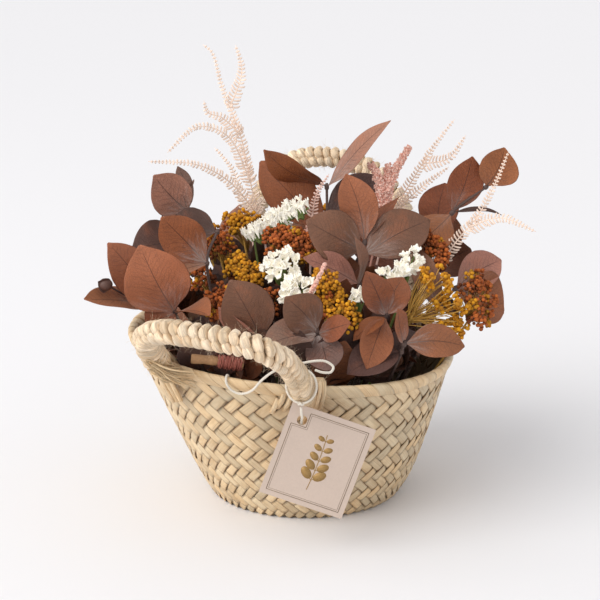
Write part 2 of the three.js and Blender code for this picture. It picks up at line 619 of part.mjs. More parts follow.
function eucalyptus({ stem: nodes, leaves, bud }) {
  const path = nodes.map(asVector);
  const fan = path[0].clone().sub(rootUnder(path[0])).normalize();
  const end = path.length > 1 ? path.at(-1).clone().sub(path.at(-2)).normalize() : fan;
  const solids = [stem([...path.slice(0, -1), path.at(-1).clone().addScaledVector(end, STEM_TIP)])];
  for (const [at, tip, wide, face] of leaves)
    solids.push(leaf({ at: nearestOn(path, asVector(at)), tip: asVector(tip), wide, face: asVector(face) }));
  if (bud) {
    const place = vec(bud[0]);
    solids.push(tube([path[0], place], 0.8, 5, 1));
    solids.push(solidOf(new THREE.IcosahedronGeometry(bud[1], 0).translate(...place)));
  }
  return oneBody(fuse(solids));
}

function clusterSpray(heads) {
  const first = vec(heads[0][0]);
  const solids = [stem([first])];
  heads.forEach(([at, size], i) => {
    const middle = vec(at);
    const fine = Math.max(...size) > 11 ? 2 : 1;
    solids.push(head({ at: middle, size, fine, out: awayFromMiddle(middle) }));
    if (i) solids.push(tube([rootUnder(first).lerp(first, 0.3), middle], STEM_RADIUS, 5, 1));
  });
  return oneBody(fuse(solids));
}

function openSpray({ fork, ends, size }) {
  const start = vec(fork);
  const solids = [stem([start])];
  for (const end of ends.map(vec)) {
    solids.push(tube([start, end], 0.8, 4, 1));
    solids.push(head({ at: end, size: [size, size, size], fine: 1, raise: 0.4, out: end.clone().sub(start) }));
  }
  return oneBody(fuse(solids));
}

// Statice opens in papery cups: the grains of a head turned inside out.
function staticeSpray(clumps) {
  const first = vec(clumps[0][0]);
  const solids = [stem([first])];
  clumps.forEach(([at, size], i) => {
    const middle = vec(at);
    const fine = Math.max(...size) > 8 ? 2 : 1;
    solids.push(head({ at: middle, size, fine, raise: -0.42, out: awayFromMiddle(middle) }));
    if (i) solids.push(chain([vec(clumps[i - 1][0]), middle], 1.6, 5));
  });
  return oneBody(fuse(solids));
}

// A spike's florets are the checkered bumps of a tube that tapers to its tip.
function spike({ paths, thick }) {
  const solids = [stem([vec(paths[0][0])])];
  for (const points of paths) {
    const steps = Math.round(evenLength(points.map(vec)) / (thick * 0.7));
    const reach = (k, i) => thick * (0.5 - 0.25 * (k / steps)) * ((k + i) % 2 ? 1.25 : 0.75);
    solids.push(ringTube(evenPoints(points.map(vec), steps), reach, 6));
  }
  return oneBody(fuse(solids));
}

// The first branch is the frond's own rib. The others start on it.
function frond({ branches, needle }) {
  const face = new THREE.Vector3(0.15, -1, 0.2).normalize();
  const [rib, ...others] = branches.map((branch) => branch.map(vec));
  const solids = [stem([rib[0], rib[0].clone().lerp(rib[1], 0.12)]), comb({ path: rib, needle, face })];
  for (const [start, ...rest] of others) {
    const near = nearestOn(evenPoints(rib, 40), start);
    solids.push(comb({ path: [near, ...rest], needle, face }));
  }
  return oneBody(fuse(solids));
}

part.add(meshOf("basket", basketSolid(), PALM));
for (const [side, handle] of [["front", FRONT_HANDLE], ["back", BACK_HANDLE]]) {
  part.add(meshOf(side + "_handle", hitchedRope(handlePath(handle)), ROPE));
  [["left", 0], ["right", 1]].forEach(([end, foot]) => {
    part.add(meshOf(side + "_lashing_" + end, lashing(handle, foot), ROPE));
  });
}
flowers.add(meshOf("tag", tagSolid(), CARD));
part.add(meshOf("string_tie", stringTie(), COTTON));
flowers.add(meshOf("string_bow", tube(BOW_PATH, STRING_RADIUS, 8, 28), COTTON));
flowers.add(meshOf("string_link", tube(LINK_PATH, STRING_RADIUS, 8, 10), COTTON));

[...EUCALYPTUS, ...BACK_SPRAYS.map(backSpray)].forEach((spray, i) =>
  flowers.add(meshOf(numbered("eucalyptus", i), eucalyptus(spray), LEAF_BROWN)));
RUST_SPRAYS.forEach((heads, i) => flowers.add(meshOf(numbered("rust_cluster", i), clusterSpray(heads), RUST)));
YELLOW_SPRAYS.forEach((heads, i) =>
  flowers.add(meshOf(numbered("yellow_cluster", i), clusterSpray(heads), GOLD)));
flowers.add(meshOf("yellow_open_spray", openSpray(OPEN_SPRAY), GOLD));
STATICE.forEach((clumps, i) => flowers.add(meshOf(numbered("statice", i), staticeSpray(clumps), CREAM)));
SPIKES.forEach((one, i) => flowers.add(meshOf(numbered("pink_spike", i), spike(one), ROSE)));
FRONDS.forEach((one, i) => flowers.add(meshOf(numbered("fern", i), frond(one), BLUSH)));

const TIED_STEM = [[-70, -92, 118], [-56, -93, 117], [-38, -92, 114]].map(vec);
flowers.add(meshOf("tied_stem", tube(TIED_STEM, 3.2, 8, 6), BARK));
flowers.add(meshOf("foam", foamSolid(), FOAM_BROWN));

export default part;
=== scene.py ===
import math
import bmesh
import bpy
import numpy as np
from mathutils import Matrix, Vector


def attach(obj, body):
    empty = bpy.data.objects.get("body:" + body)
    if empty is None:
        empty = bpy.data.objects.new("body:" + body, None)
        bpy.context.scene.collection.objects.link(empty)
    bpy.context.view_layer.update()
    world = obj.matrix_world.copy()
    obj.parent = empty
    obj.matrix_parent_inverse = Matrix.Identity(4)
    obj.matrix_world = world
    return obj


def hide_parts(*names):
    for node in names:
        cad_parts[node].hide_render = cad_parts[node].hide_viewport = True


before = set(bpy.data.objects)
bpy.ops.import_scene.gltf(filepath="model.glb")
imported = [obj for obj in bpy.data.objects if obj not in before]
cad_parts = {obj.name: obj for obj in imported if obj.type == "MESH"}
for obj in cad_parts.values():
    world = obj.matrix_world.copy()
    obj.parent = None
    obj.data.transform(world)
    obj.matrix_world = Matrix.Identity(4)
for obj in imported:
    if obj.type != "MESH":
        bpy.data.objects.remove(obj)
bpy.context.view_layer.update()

mm = 0.001  # everything below is drawn in millimetres and scaled once, in Pile.piece

# The two frames.
# The row's frame has the front handle at -Y. The flowers' frame is turned from it about Z:
# X to the photo's right, Y away from the viewer.
flowerTurn = math.radians(17)
turned = np.array([[math.cos(flowerTurn), -math.sin(flowerTurn), 0],
                   [math.sin(flowerTurn), math.cos(flowerTurn), 0],
                   [0, 0, 1]])


def inRow(points):
    return np.asarray(points, float) @ turned.T


def unit(vector):
    return vector / np.linalg.norm(vector)


def unitRows(rows):
    return rows / np.linalg.norm(rows, axis=1)[:, None]


def outward(angle):
    return np.stack([np.cos(angle), np.sin(angle), np.zeros_like(angle)], axis=-1)


up = np.array([0.0, 0.0, 1.0])
goldenAngle = math.pi * (3 - math.sqrt(5))

# Camera, lights and floor.
view = dict(elevation=15.5, distance=1150, target=(-2.87, -0.88, 130), lens=103.5)
light = dict(sun=1.65, soft=54, bearing=(-1, -0.75, 1.05), window=6.0, fill=0.5, sky=0.69)


def lookAt(thing, place, target):
    thing.location = Vector(place) * mm
    thing.rotation_euler = (Vector(target) - Vector(place)).to_track_quat("-Z", "Y").to_euler()


def makeCamera():
    lens = bpy.data.cameras.new("view")
    lens.lens = view["lens"]
    lens.sensor_width = 36
    camera = bpy.data.objects.new("view", lens)
    bpy.context.scene.collection.objects.link(camera)
    rise = math.radians(view["elevation"])
    away = inRow([0, -math.cos(rise), 0]) + np.array([0, 0, math.sin(rise)])
    lookAt(camera, np.array(view["target"]) + away * view["distance"], view["target"])
    bpy.context.scene.camera = camera


def makeLight(name, place, size, power, colour):
    lamp = bpy.data.lights.new(name, "AREA")
    lamp.shape = "DISK"
    lamp.size = size * mm
    lamp.energy = power
    lamp.color = colour
    made = bpy.data.objects.new(name, lamp)
    bpy.context.scene.collection.objects.link(made)
    lookAt(made, inRow(place), (0, 0, 120))


def makeStudio():
    scene = bpy.context.scene
    scene.view_settings.view_transform = "Standard"
    world = bpy.data.worlds.new("studio")
    scene.world = world
    world.use_nodes = True
    sky = world.node_tree.nodes["Background"].inputs
    sky["Color"].default_value = (0.985, 0.985, 1.0, 1)
    sky["Strength"].default_value = light["sky"]
    lamp = bpy.data.lights.new("daylight", "SUN")
    lamp.energy = light["sun"]
    lamp.angle = math.radians(light["soft"])
    lamp.color = (1.0, 0.985, 0.965)
    sun = bpy.data.objects.new("daylight", lamp)
    scene.collection.objects.link(sun)
    lookAt(sun, inRow(light["bearing"]) * 2000, (0, 0, 0))
    makeLight("window", (-1500, -500, 900), 1200, light["window"], (1.0, 0.99, 0.97))
    makeLight("fill", (900, -1500, 700), 1300, light["fill"], (1.0, 0.99, 0.98))


makeCamera()
makeStudio()
print("camera and lights")


# Shader maths.
class Wire:  # an output socket: arithmetic on it adds Math nodes
    def __init__(self, finish, socket):
        self.finish = finish
        self.socket = socket

    def other(self, index):
        return Wire(self.finish, self.socket.node.outputs[index])

    def math(self, operation, *values, clamp=False):
        settings = {"operation": operation, "use_clamp": clamp}
        return self.finish.node("Math", settings, dict(enumerate(values)))

    def __add__(self, value):
        return self.math("ADD", self, value)

    def __radd__(self, value):
        return self.math("ADD", value, self)

    def __sub__(self, value):
        return self.math("SUBTRACT", self, value)

    def __rsub__(self, value):
        return self.math("SUBTRACT", value, self)

    def __mul__(self, value):
        return self.math("MULTIPLY", self, value)

    def __rmul__(self, value):
        return self.math("MULTIPLY", value, self)

    def __truediv__(self, value):
        return self.math("DIVIDE", self, value)

    def absolute(self):
        return self.math("ABSOLUTE", self)

    def fraction(self):
        return self.math("FRACT", self)

    def clamped(self):
        return self.math("ADD", self, 0.0, clamp=True)

    def rise(self, low, high):  # 0 below low, 1 above high, smooth between; falls when low > high
        limits = {"Value": self, "From Min": low, "From Max": high}
        return self.finish.node("MapRange", {"interpolation_type": "SMOOTHSTEP"}, limits)


class Finish:  # one material and the nodes behind it
    def __init__(self, name, roughness, **fixed):
        self.material = bpy.data.materials.new(name)
        self.material.use_nodes = True
        self.tree = self.material.node_tree
        self.shader = self.tree.nodes["Principled BSDF"]
        self.feed(self.shader, {"Roughness": roughness, **fixed})

    def feed(self, made, values):
        for key, value in values.items():
            if isinstance(value, Wire):
                self.tree.links.new(value.socket, made.inputs[key])
            else:
                made.inputs[key].default_value = value

    def node(self, kind, settings, values, output=0):
        made = self.tree.nodes.new("ShaderNode" + kind)
        for key, value in settings.items():
            setattr(made, key, value)
        self.feed(made, values)
        return Wire(self, made.outputs[output])

    def mark(self, name):  # a mesh attribute: tone is a colour, the others are vectors
        return self.node("Attribute", {"attribute_name": name}, {}, 0 if name == "tone" else 1)

    def split(self, vector):
        x = self.node("SeparateXYZ", {}, {0: vector})
        return x, x.other(1), x.other(2)

    def join(self, x, y, z):
        return self.node("CombineXYZ", {}, {0: x, 1: y, 2: z})

    def noise(self, vector, scale, detail=3.0, rough=0.55):
        values = {"Vector": vector, "Scale": scale, "Detail": detail, "Roughness": rough}
        return self.node("TexNoise", {}, values)

    def cells(self, vector, scale, feature="F1"):
        return self.node("TexVoronoi", {"feature": feature}, {"Vector": vector, "Scale": scale})

    def mix(self, factor, first, second, blend="MIX"):
        settings = {"data_type": "RGBA", "blend_type": blend}
        return self.node("Mix", settings, {0: factor, 6: first, 7: second}, 2)

    def shade(self, colour, factor):  # the colour made lighter or darker by a number
        first = colour if isinstance(colour, Wire) else colour[:3]
        return self.node("VectorMath", {"operation": "SCALE"}, {0: first, "Scale": factor})

    def bump(self, height, distance):
        values = {"Height": height, "Distance": distance * mm}
        self.feed(self.shader, {"Normal": self.node("Bump", {}, values)})


def tint(code):  # a colour written as on a paint chart, made linear
    channels = [int(code[i:i + 2], 16) / 255 for i in (0, 2, 4)]
    linear = [c / 12.92 if c < 0.04045 else ((c + 0.055) / 1.055) ** 2.4 for c in channels]
    return (*linear, 1.0)


def fibreFinish(name, colour, streak, roughness, grain, relief, gap="8a6440", contrast=0.7):
    # Threads that run along a strand: place is millimetres along it, around it, and its number.
    # On a flat strip share runs from -1 to 1 between its edges, which are browner here and there.
    finish = Finish(name, roughness)
    along, around, number = finish.split(finish.mark("place"))
    edge, _, _ = finish.split(finish.mark("share"))
    drawn = finish.join(along * 0.035, around * grain, number * 7.3)
    threads = finish.noise(drawn, 1.0, 4.0, 0.65)
    patches = finish.noise(finish.join(along * 0.09, around * 0.2, number * 3.1), 1.0, 2.0)
    rare = finish.noise(finish.join(along * 0.012, around * grain * 0.6, number * 5.7 + 40), 1.0, 2.0)
    base = finish.mix(patches.rise(0.35, 0.75) * 0.6, colour, streak)
    lit = finish.shade(base, (threads - 0.5) * contrast + 1.01)
    own = finish.mix(1.0, lit, finish.mark("tone"), "MULTIPLY")
    toneShift = finish.noise(finish.join(along * 0.06, number * 2.3, 9.0), 1.0, 1.0).rise(0.46, 0.62)
    border = edge.absolute().rise(0.62, 0.9) * toneShift * 0.5 + edge.absolute().rise(0.84, 0.98) * 0.4
    brown = rare.rise(0.64, 0.74) * 0.5
    marked = brown.math("MAXIMUM", brown, border)
    finish.feed(finish.shader, {"Base Color": finish.mix(marked, own, tint(gap))})
    finish.bump(threads, relief)
    return finish.material


def plantFinish(name, roughness, speckle, grain, relief, **fixed):
    # A plant part in its own tone, mottled, with a fine rough surface.
    finish = Finish(name, roughness, **fixed)
    spot = finish.node("TexCoord", {}, {}, 3)
    mottle = finish.noise(spot, 160.0, 3.0)
    fine = finish.noise(spot, grain, 2.0)
    lit = finish.shade(finish.mark("tone"), (mottle + fine - 1) * speckle * 1.2 + 1)
    # The tone also feeds the emission colour: where a finish sets an emission strength the part glows, a
    # painted glow.
    finish.feed(finish.shader, {"Base Color": lit, "Emission Color": lit})
    finish.bump(fine, relief)
    return finish.material


palmFinish = fibreFinish("palm_leaf", tint("e6cda6"), tint("cba97c"), 0.5, 2.4, 0.12)
sisalFinish = fibreFinish("sisal_cord", tint("fae5c9"), tint("e0bc8e"), 0.9, 1.7, 0.9, "b8956e", 1.7)
cottonFinish = fibreFinish("cotton_string", tint("eae3d6"), tint("dcd2c0"), 0.9, 3.5, 0.12, "cbbfa8")
frayFinish = fibreFinish("frayed_fibre", tint("f0d8b2"), tint("d2ae7e"), 0.9, 2.0, 0.3)
barkFinish = plantFinish("bark", 0.8, 0.5, 900.0, 0.25)
buttonFinish = plantFinish("button_flowers", 0.85, 0.75, 1500.0, 0.35)
paintedGlow = {"Emission Strength": 0.1}  # painted glow: petals and plumes glow a little, standing in for the light that passes through them
petalFinish = plantFinish("papery_petal", 0.75, 0.16, 1200.0, 0.10, **paintedGlow)
plumeFinish = plantFinish("plume", 0.85, 0.30, 1400.0, 0.12, **paintedGlow)


def leafFinish():
    # place: millimetres along and across the leaf, and its number. share: the same from 0 to 1.
    # tone: the leaf's colour, with the strength of its pale wax as alpha.
    finish = Finish("eucalyptus_leaf", 0.5)
    along, across, number = finish.split(finish.mark("place"))
    reach, side, _ = finish.split(finish.mark("share"))
    tone = finish.mark("tone")
    wax = tone.other(3)
    fromRib = across.absolute()
    spot = finish.join(along, across, number * 37.0)
    wander = finish.noise(spot, 0.16, 2.0)
    patches = finish.noise(spot, 0.09, 3.0)
    fine = finish.noise(spot, 1.7, 4.0, 0.6)

    ribWidth = 0.55 - 0.4 * reach
    midrib = (fromRib / ribWidth).rise(1.0, 0.35) * reach.rise(0.96, 0.84)
    slanted = along - fromRib * (0.8 + 0.3 * patches) + wander * 7.0 + number * 1.3
    toVein = ((slanted / 3.7).fraction() - 0.5).absolute()
    inner = reach.rise(0.75, 0.1) * (0.3 + 0.7 * wax)
    veins = toVein.rise(0.13, 0.02) * side.absolute().rise(0.95, 0.5) * (0.5 + 0.5 * inner) * 0.75
    net = finish.cells(spot, 0.62, "DISTANCE_TO_EDGE").rise(0.09, 0.0) * (0.3 + 0.3 * inner)
    lines = midrib.math("MAXIMUM", midrib, veins)
    lines = lines.math("MAXIMUM", lines, net)

    foot = (reach * 1.9).rise(1.0, 0.0)
    near = (fromRib / 4.5).rise(1.0, 0.0) * foot
    bloom = foot * (0.35 + 0.65 * patches.rise(0.35, 0.62)) * 0.8 + near * 0.6
    bloom = (bloom * wax * (0.6 + 0.8 * fine)).clamped()
    bearing = across.math("ARCTAN2", across, along + 1.2)
    streaks = finish.noise(finish.join(bearing * 8.0, along * 0.06, number * 11.0), 1.0, 3.0, 0.7)
    rays = streaks.rise(0.48, 0.62) * (reach * 1.7).rise(1.0, 0.1) * wax

    grit = finish.noise(spot, 5.0, 2.0, 0.7)
    shade = 0.31 + 0.72 * patches + 0.46 * fine + 0.36 * grit
    body = finish.shade(tone, shade)
    reddish = finish.mix(patches.rise(0.52, 0.72) * 0.3, body, tint("a05a34"))
    rimmed = finish.mix(side.absolute().rise(0.93, 1.0) * 0.1, reddish, tint("4a2a20"))
    dusty = finish.mix(bloom * 0.5, rimmed, tint("b7a49d"))
    paleLine = finish.mix(wax * foot, tint("3a221c"), tint("cbb9b0"))
    frosted = finish.mix(rays * 0.62, dusty, tint("d6c9c4"))
    drawn = finish.mix(lines * (0.66 + 0.28 * wax), frosted, paleLine)
    dots = finish.cells(spot, 0.28)
    specks = dots.rise(0.11, 0.05) * (finish.noise(spot, 0.5, 1.0).rise(0.46, 0.6)) * 0.75
    finish.feed(finish.shader, {
        "Base Color": finish.mix(specks, drawn, tint("47251b")),
        "Roughness": 0.46 + 0.2 * fine + 0.2 * bloom})
    finish.bump(lines * 0.5 + fine * 0.6 + grit * 0.3 + patches * 1.6, 0.6)
    return finish.material


eucalyptusFinish = leafFinish()


def inkFinish(name, code):
    finish = Finish(name, 0.45, Metallic=0.25)
    spot = finish.node("TexCoord", {}, {}, 3)
    toneShift = finish.noise(spot, 900.0, 3.0)
    finish.feed(finish.shader, {"Base Color": finish.shade(tint(code), toneShift * 0.5 + 0.75)})
    return finish.material


def cardFinish():
    finish = Finish("tag_card", 0.8)
    spot = finish.node("TexCoord", {}, {}, 3)
    pulp = finish.noise(spot, 700.0, 5.0, 0.7)
    clouds = finish.noise(spot, 45.0, 2.0)
    shade = pulp * 0.16 + clouds * 0.1 + 0.87
    finish.feed(finish.shader, {"Base Color": finish.shade(tint("cbb8aa"), shade)})
    finish.bump(pulp, 0.06)
    return finish.material


def foamFinish():
    finish = Finish("dry_foam", 0.95)
    spot = finish.node("TexCoord", {}, {}, 3)
    pores = finish.cells(spot, 700.0)
    clouds = finish.noise(spot, 60.0, 3.0)
    finish.feed(finish.shader, {"Base Color": finish.shade(tint("5d4a37"), pores * 0.6 + clouds * 0.5 + 0.4)})
    finish.bump(pores, 0.6)
    return finish.material


def floorFinish():
    finish = Finish("studio_floor", 0.9)
    finish.feed(finish.shader, {"Base Color": (0.87, 0.865, 0.88, 1)})
    return finish.material


def makeFloor():
    mesh = bpy.data.meshes.new("studio_floor")
    half = 9.0  # metres
    corners = [(-half, -half, 0), (half, -half, 0), (half, half, 0), (-half, half, 0)]
    mesh.from_pydata(corners, [], [(0, 1, 2, 3)])
    mesh.materials.append(floorFinish())
    floor = bpy.data.objects.new("studio_floor", mesh)
    bpy.context.scene.collection.objects.link(floor)


makeFloor()


# Meshes.
class Pile:  # the points, faces and shading marks of one mesh, gathered part by part
    def __init__(self):
        self.points = []
        self.faces = []
        self.marks = {}
        self.count = 0

    def add(self, points, faces, **marks):
        points = np.asarray(points, float).reshape(-1, 3)
        self.points.append(points)
        self.faces.extend(np.asarray(block) + self.count for block in faces)
        marks = {"place": (0, 0, 0), "share": (0, 0, 0), "tone": (1, 1, 1, 1), **marks}
        for name, value in marks.items():
            width = 4 if name == "tone" else 3
            self.marks.setdefault(name, []).append(np.broadcast_to(value, (len(points), width)))
        self.count += len(points)

    def piece(self, name, material, slot, nodes=(), fromFlowers=False):
        points = np.concatenate(self.points)
        if fromFlowers:
            points = inRow(points)
        points[:, 2] = np.maximum(points[:, 2], 0.05)  # nothing dips into the floor
        mesh = bpy.data.meshes.new(name)
        faces = [face for block in self.faces for face in block.tolist()]
        mesh.from_pydata((points * mm).tolist(), [], faces)
        for mark, values in self.marks.items():
            kind, field = ("FLOAT_COLOR", "color") if mark == "tone" else ("FLOAT_VECTOR", "vector")
            made = mesh.attributes.new(mark, kind, "POINT")
            made.data.foreach_set(field, np.concatenate(values).astype(np.float32).ravel())
        mesh.shade_smooth()
        mesh.materials.append(material)
        piece = bpy.data.objects.new(name, mesh)
        bpy.context.scene.collection.objects.link(piece)
        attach(piece, "root")
        if nodes:
            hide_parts(*nodes)
        return piece


def curve(points, spacing=None, steps=None):
    # A smooth line through the points, at even distances. Its spans are centripetal.
    points = np.asarray(points, float)
    ends = [2 * points[0] - points[1], *points, 2 * points[-1] - points[-2]]
    line = []
    for a, b, c, d in zip(ends, ends[1:], ends[2:], ends[3:]):
        first, middle, last = (max(np.linalg.norm(q - p), 1e-6) ** 0.5 for p, q in ((a, b), (b, c), (c, d)))
        leave = ((b - a) / first - (c - a) / (first + middle) + (c - b) / middle) * middle
        enter = ((c - b) / middle - (d - b) / (middle + last) + (d - c) / last) * middle
        t = np.linspace(0, 1, 24, endpoint=False)[:, None]  # 24 points worked out on each span
        line.append(b + leave * t + (3 * (c - b) - 2 * leave - enter) * t ** 2
                    + (2 * (b - c) + leave + enter) * t ** 3)
    line = np.concatenate([*line, points[-1:]])
    length = distanceAlong(line)
    steps = steps or max(2, round(length[-1] / spacing))
    at = np.linspace(0, length[-1], steps + 1)
    return np.stack([np.interp(at, length, line[:, k]) for k in range(3)], axis=1)


def distanceAlong(path):
    return np.concatenate([[0], np.cumsum(np.linalg.norm(np.diff(path, axis=0), axis=1))])


def lengthOf(path):
    return distanceAlong(path)[-1]


def tubeFaces(rings, around, flipped=False):
    # Quads between rings of corners and a cap at each end, in that order.
    ring = np.arange(around)
    after = (ring + 1) % around
    base = (np.arange(rings - 1) * around)[:, None]
    corners = [base + ring, base + after, base + around + after, base + around + ring]
    quads = np.stack(corners, axis=-1).reshape(-1, 4)
    near, far = ring[::-1], (rings - 1) * around + ring
    if flipped:
        quads, near, far = quads[:, [0, 3, 2, 1]], near[::-1], far[::-1]
    return [quads, [near], [far]]


def framesAlong(path, start=(0.31, 0.87, 0.12)):
    # The path's direction and two directions square to it, which turn as little as they can.
    forward = unitRows(np.gradient(path, axis=0))
    side = np.empty_like(path)
    held = np.array(start, float)
    for k, way in enumerate(forward):
        held = unit(held - way * held.dot(way))
        side[k] = held
    return forward, side, np.cross(forward, side)


def sweep(pile, path, reach, sides=8, number=0.0, tone=(1, 1, 1, 1)):
    # A closed strand round a path. reach is its radius, for each ring or each corner.
    count = len(path)
    _, side, across = framesAlong(path)
    angles = np.linspace(0, 2 * math.pi, sides, endpoint=False)[None] + np.zeros((count, 1))
    radius = np.asarray(reach, float)
    radius = np.broadcast_to(radius[:, None] if radius.ndim == 1 else radius, (count, sides))
    x = (radius * np.cos(angles))[..., None]
    y = (radius * np.sin(angles))[..., None]
    points = path[:, None] + x * side[:, None] + y * across[:, None]
    place = np.stack([np.repeat(distanceAlong(path), sides), (radius * angles).ravel(),
                      np.full(count * sides, number)], axis=1)
    if np.ndim(tone) == 2:
        tone = np.repeat(np.asarray(tone, float), sides, axis=0)
    pile.add(points, tubeFaces(count, sides), place=place, tone=tone)


def pointed(count, radius, tip=0.35):  # a radius that tapers over the last steps
    return radius * np.interp(np.linspace(0, 1, count), [0, 0.75, 1], [1, 0.85, tip])


def ballShape(subdivisions):
    made = bmesh.new()
    bmesh.ops.create_icosphere(made, subdivisions=subdivisions, radius=1.0)
    points = np.array([v.co[:] for v in made.verts])
    faces = np.array([[v.index for v in f.verts] for f in made.faces])
    made.free()
    return points, faces


def addCopies(pile, shape, places, sizes, frames=None, **marks):
    # One shape many times. sizes is a radius or three of them; frames turns each copy's axes.
    points, faces = shape
    places = np.asarray(places, float)
    sizes = np.asarray(sizes, float)
    scaled = points[None] * (sizes[:, None, None] if sizes.ndim == 1 else sizes[:, None, :])
    if frames is not None:
        scaled = np.einsum("mij,mkj->mki", frames, scaled)
    made = scaled + places[:, None]
    blocks = faces[None] + (np.arange(len(places)) * len(points))[:, None, None]
    repeated = {name: np.repeat(np.asarray(value, float), len(points), axis=0)
                for name, value in marks.items()}
    pile.add(made, [blocks.reshape(-1, faces.shape[1])], **repeated)


def frameTo(directions, spin):
    # Turning matrices whose third axis is each direction, spun about it.
    directions = unitRows(directions)
    helper = np.where(np.abs(directions[:, 2:3]) > 0.9, [[1.0, 0, 0]], [[0, 0, 1.0]])
    first = unitRows(np.cross(helper, directions))
    second = np.cross(directions, first)
    c, s = np.cos(spin)[:, None], np.sin(spin)[:, None]
    return np.stack([first * c + second * s, second * c - first * s, directions], axis=2)


def spread(count, lowest=-1.0):
    # Directions spread evenly over a ball's cap, from straight up down to the given height.
    height = 1 - (np.arange(count) + 0.5) / count * (1 - lowest)
    angle = np.arange(count) * goldenAngle
    flat = np.sqrt(1 - height ** 2)
    return np.stack([flat * np.cos(angle), flat * np.sin(angle), height], axis=1)


ball = ballShape(2)
grain = ballShape(1)

# String.
string = dict(radius=0.8, plies=3, lobe=0.14, lay=5.2, sides=18)
# The free end: tucked in behind the rim, a drooping bight, behind the handle, a bow loop.
bowPath = [
    (-47, -99.4, 107.5), (-47.3, -101.8, 110.4), (-48, -105.2, 110.6), (-48, -107, 107.5),
    (-45.5, -106.6, 103), (-41, -106.6, 100.4), (-37, -108.2, 100.8), (-32, -111.5, 104),
    (-26, -116, 112), (-18, -120.4, 119.3),
    (-9, -121.4, 122.8), (-1, -121.2, 124.4), (6, -120.4, 125.4), (12.5, -118.8, 124.6), (17, -119, 121.2),
    (15.5, -121.6, 118.8), (10.5, -123.4, 119.2), (6, -124.4, 121)]
# From the knot down to the card, through its hole, and a tail behind it.
linkPath = [
    (-2.4, -129.5, 99.1), (-2.3, -128.8, 96.4), (-2.1, -127, 93.8), (-1.8, -124.9, 91.6), (-1.7, -123, 90.4),
    (-1.7, -121.4, 90.3), (-1.9, -120, 88.8), (-2.2, -119.6, 85.5), (-2.1, -119.6, 76), (-1.6, -119.8, 68)]


def addString(pile, points, number):
    # The string's plies wind round it once in each lay.
    path = curve(points, spacing=0.45)
    angles = np.linspace(0, 2 * math.pi, string["sides"], endpoint=False)
    phase = string["plies"] * (angles[None] - 2 * math.pi * distanceAlong(path)[:, None] / string["lay"])
    lobes = 1 - string["lobe"] + string["lobe"] * np.abs(np.cos(phase / 2))
    sweep(pile, path, string["radius"] * lobes, string["sides"], number=number)


def makeString(name, node, points, number):
    pile = Pile()
    addString(pile, points, number)
    return pile.piece(name, cottonFinish, "cotton", [node], fromFlowers=True)


def declareString(points, others):
    route = inRow(curve(points, spacing=1.0)) * mm


bowString = makeString("bow_string", "string_bow", bowPath, 1)
linkString = makeString("link_string", "string_link", linkPath, 2)
declareString(linkPath, [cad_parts["tag"]])
print("strings")

# Basket.
basket = dict(footRadius=63, rimRadius=110, rimHeight=105, shift=9, tilt=8, wall=3.5,
              strips=60, levels=24, cover=0.95, thick=0.5, weave=0.72, crown=0.3, roll=2.5, slant=0.9,
              wallLength=118)


def rimPoint(angle):
    seen = angle - flowerTurn
    radius = basket["rimRadius"] - 2 * np.cos(2 * seen)
    height = basket["rimHeight"] - basket["tilt"] * np.cos(seen) - np.cos(2 * seen)
    shift = outward(np.array(flowerTurn)) * -basket["shift"]
    return radius[..., None] * outward(angle) + height[..., None] * up + shift


def wallPoint(angle, height, out=0.0):
    # height is 0 at the foot's edge and 1 at the rim; out is how far outside the wall's skin.
    angle, height, out = np.broadcast_arrays(np.asarray(angle, float), height, out)
    seen = angle - flowerTurn
    bulge = 6 * np.sin(math.pi * np.sqrt(np.clip(height, 0, 1))) * (0.7 + 0.3 * np.cos(seen))
    foot = outward(angle) * basket["footRadius"]
    return foot + (rimPoint(angle) - foot) * height[..., None] + outward(angle) * (bulge + out)[..., None]


def strip(pile, path, faceUp, width, number, tone):
    # A flat strip with a crowned back. faceUp is the way its outer face looks, at each step.
    forward = unitRows(np.gradient(path, axis=0))
    side = unitRows(np.cross(forward, faceUp))
    out = np.cross(side, forward)
    shares = np.array([-1.0, -0.62, 0.0, 0.62, 1.0])
    low = -basket["crown"] * shares ** 2
    half = (np.broadcast_to(width, (len(path),)) / 2)[:, None]
    top = path[:, None] + side[:, None] * (half * shares)[..., None] + out[:, None] * low[None, :, None]
    back = top[:, ::-1] - out[:, None] * basket["thick"]
    points = np.concatenate([top, back], axis=1)
    around = points.shape[1]
    both = np.concatenate([shares, shares[::-1]])
    place = np.stack([np.repeat(distanceAlong(path), around), (both[None] * half).ravel(),
                      np.full(len(path) * around, number)], axis=1)
    edge = np.tile(both, len(path))
    if np.ndim(tone) == 2:
        tone = np.repeat(tone, around, axis=0)
    pile.add(points, tubeFaces(len(path), around, flipped=True), place=place, tone=tone,
             share=np.stack([edge, edge * 0, edge * 0], axis=1))


def weaveWave(level, overFirst):
    # 1 where the strip lies outside, -1 where it passes inside: over two strips, then under two.
    wave = np.clip(2.1 * np.cos(2 * math.pi * (level - 0.5) / 4), -1, 1)
    return wave if overFirst else -wave


def stripTone(chance, low=0.8):
    light = chance.uniform(low, 1.04)
    warm = chance.uniform(-0.05, 0.05)
    return (light * (1 + warm), light, light * (1 - 1.3 * warm), 1)


def rimSkin(angle, run, lift):
    # A place on the rolled rim. run is millimetres over it: below 0 outside, above 0 inside.
    bend = np.clip(run / basket["roll"], -math.pi / 2, math.pi / 2)
    beyond = np.abs(run) - basket["roll"] * math.pi / 2
    drop = basket["roll"] * (1 - np.cos(bend)) + np.clip(beyond, 0, None)
    out = -basket["wall"] / 2 - (basket["roll"] + lift) * np.sin(bend)
    rim = rimPoint(angle)
    height = 1 - (drop - 0.8) / rim[..., 2]
    return wallPoint(angle, height, out) + up * (lift * np.cos(bend))[..., None]


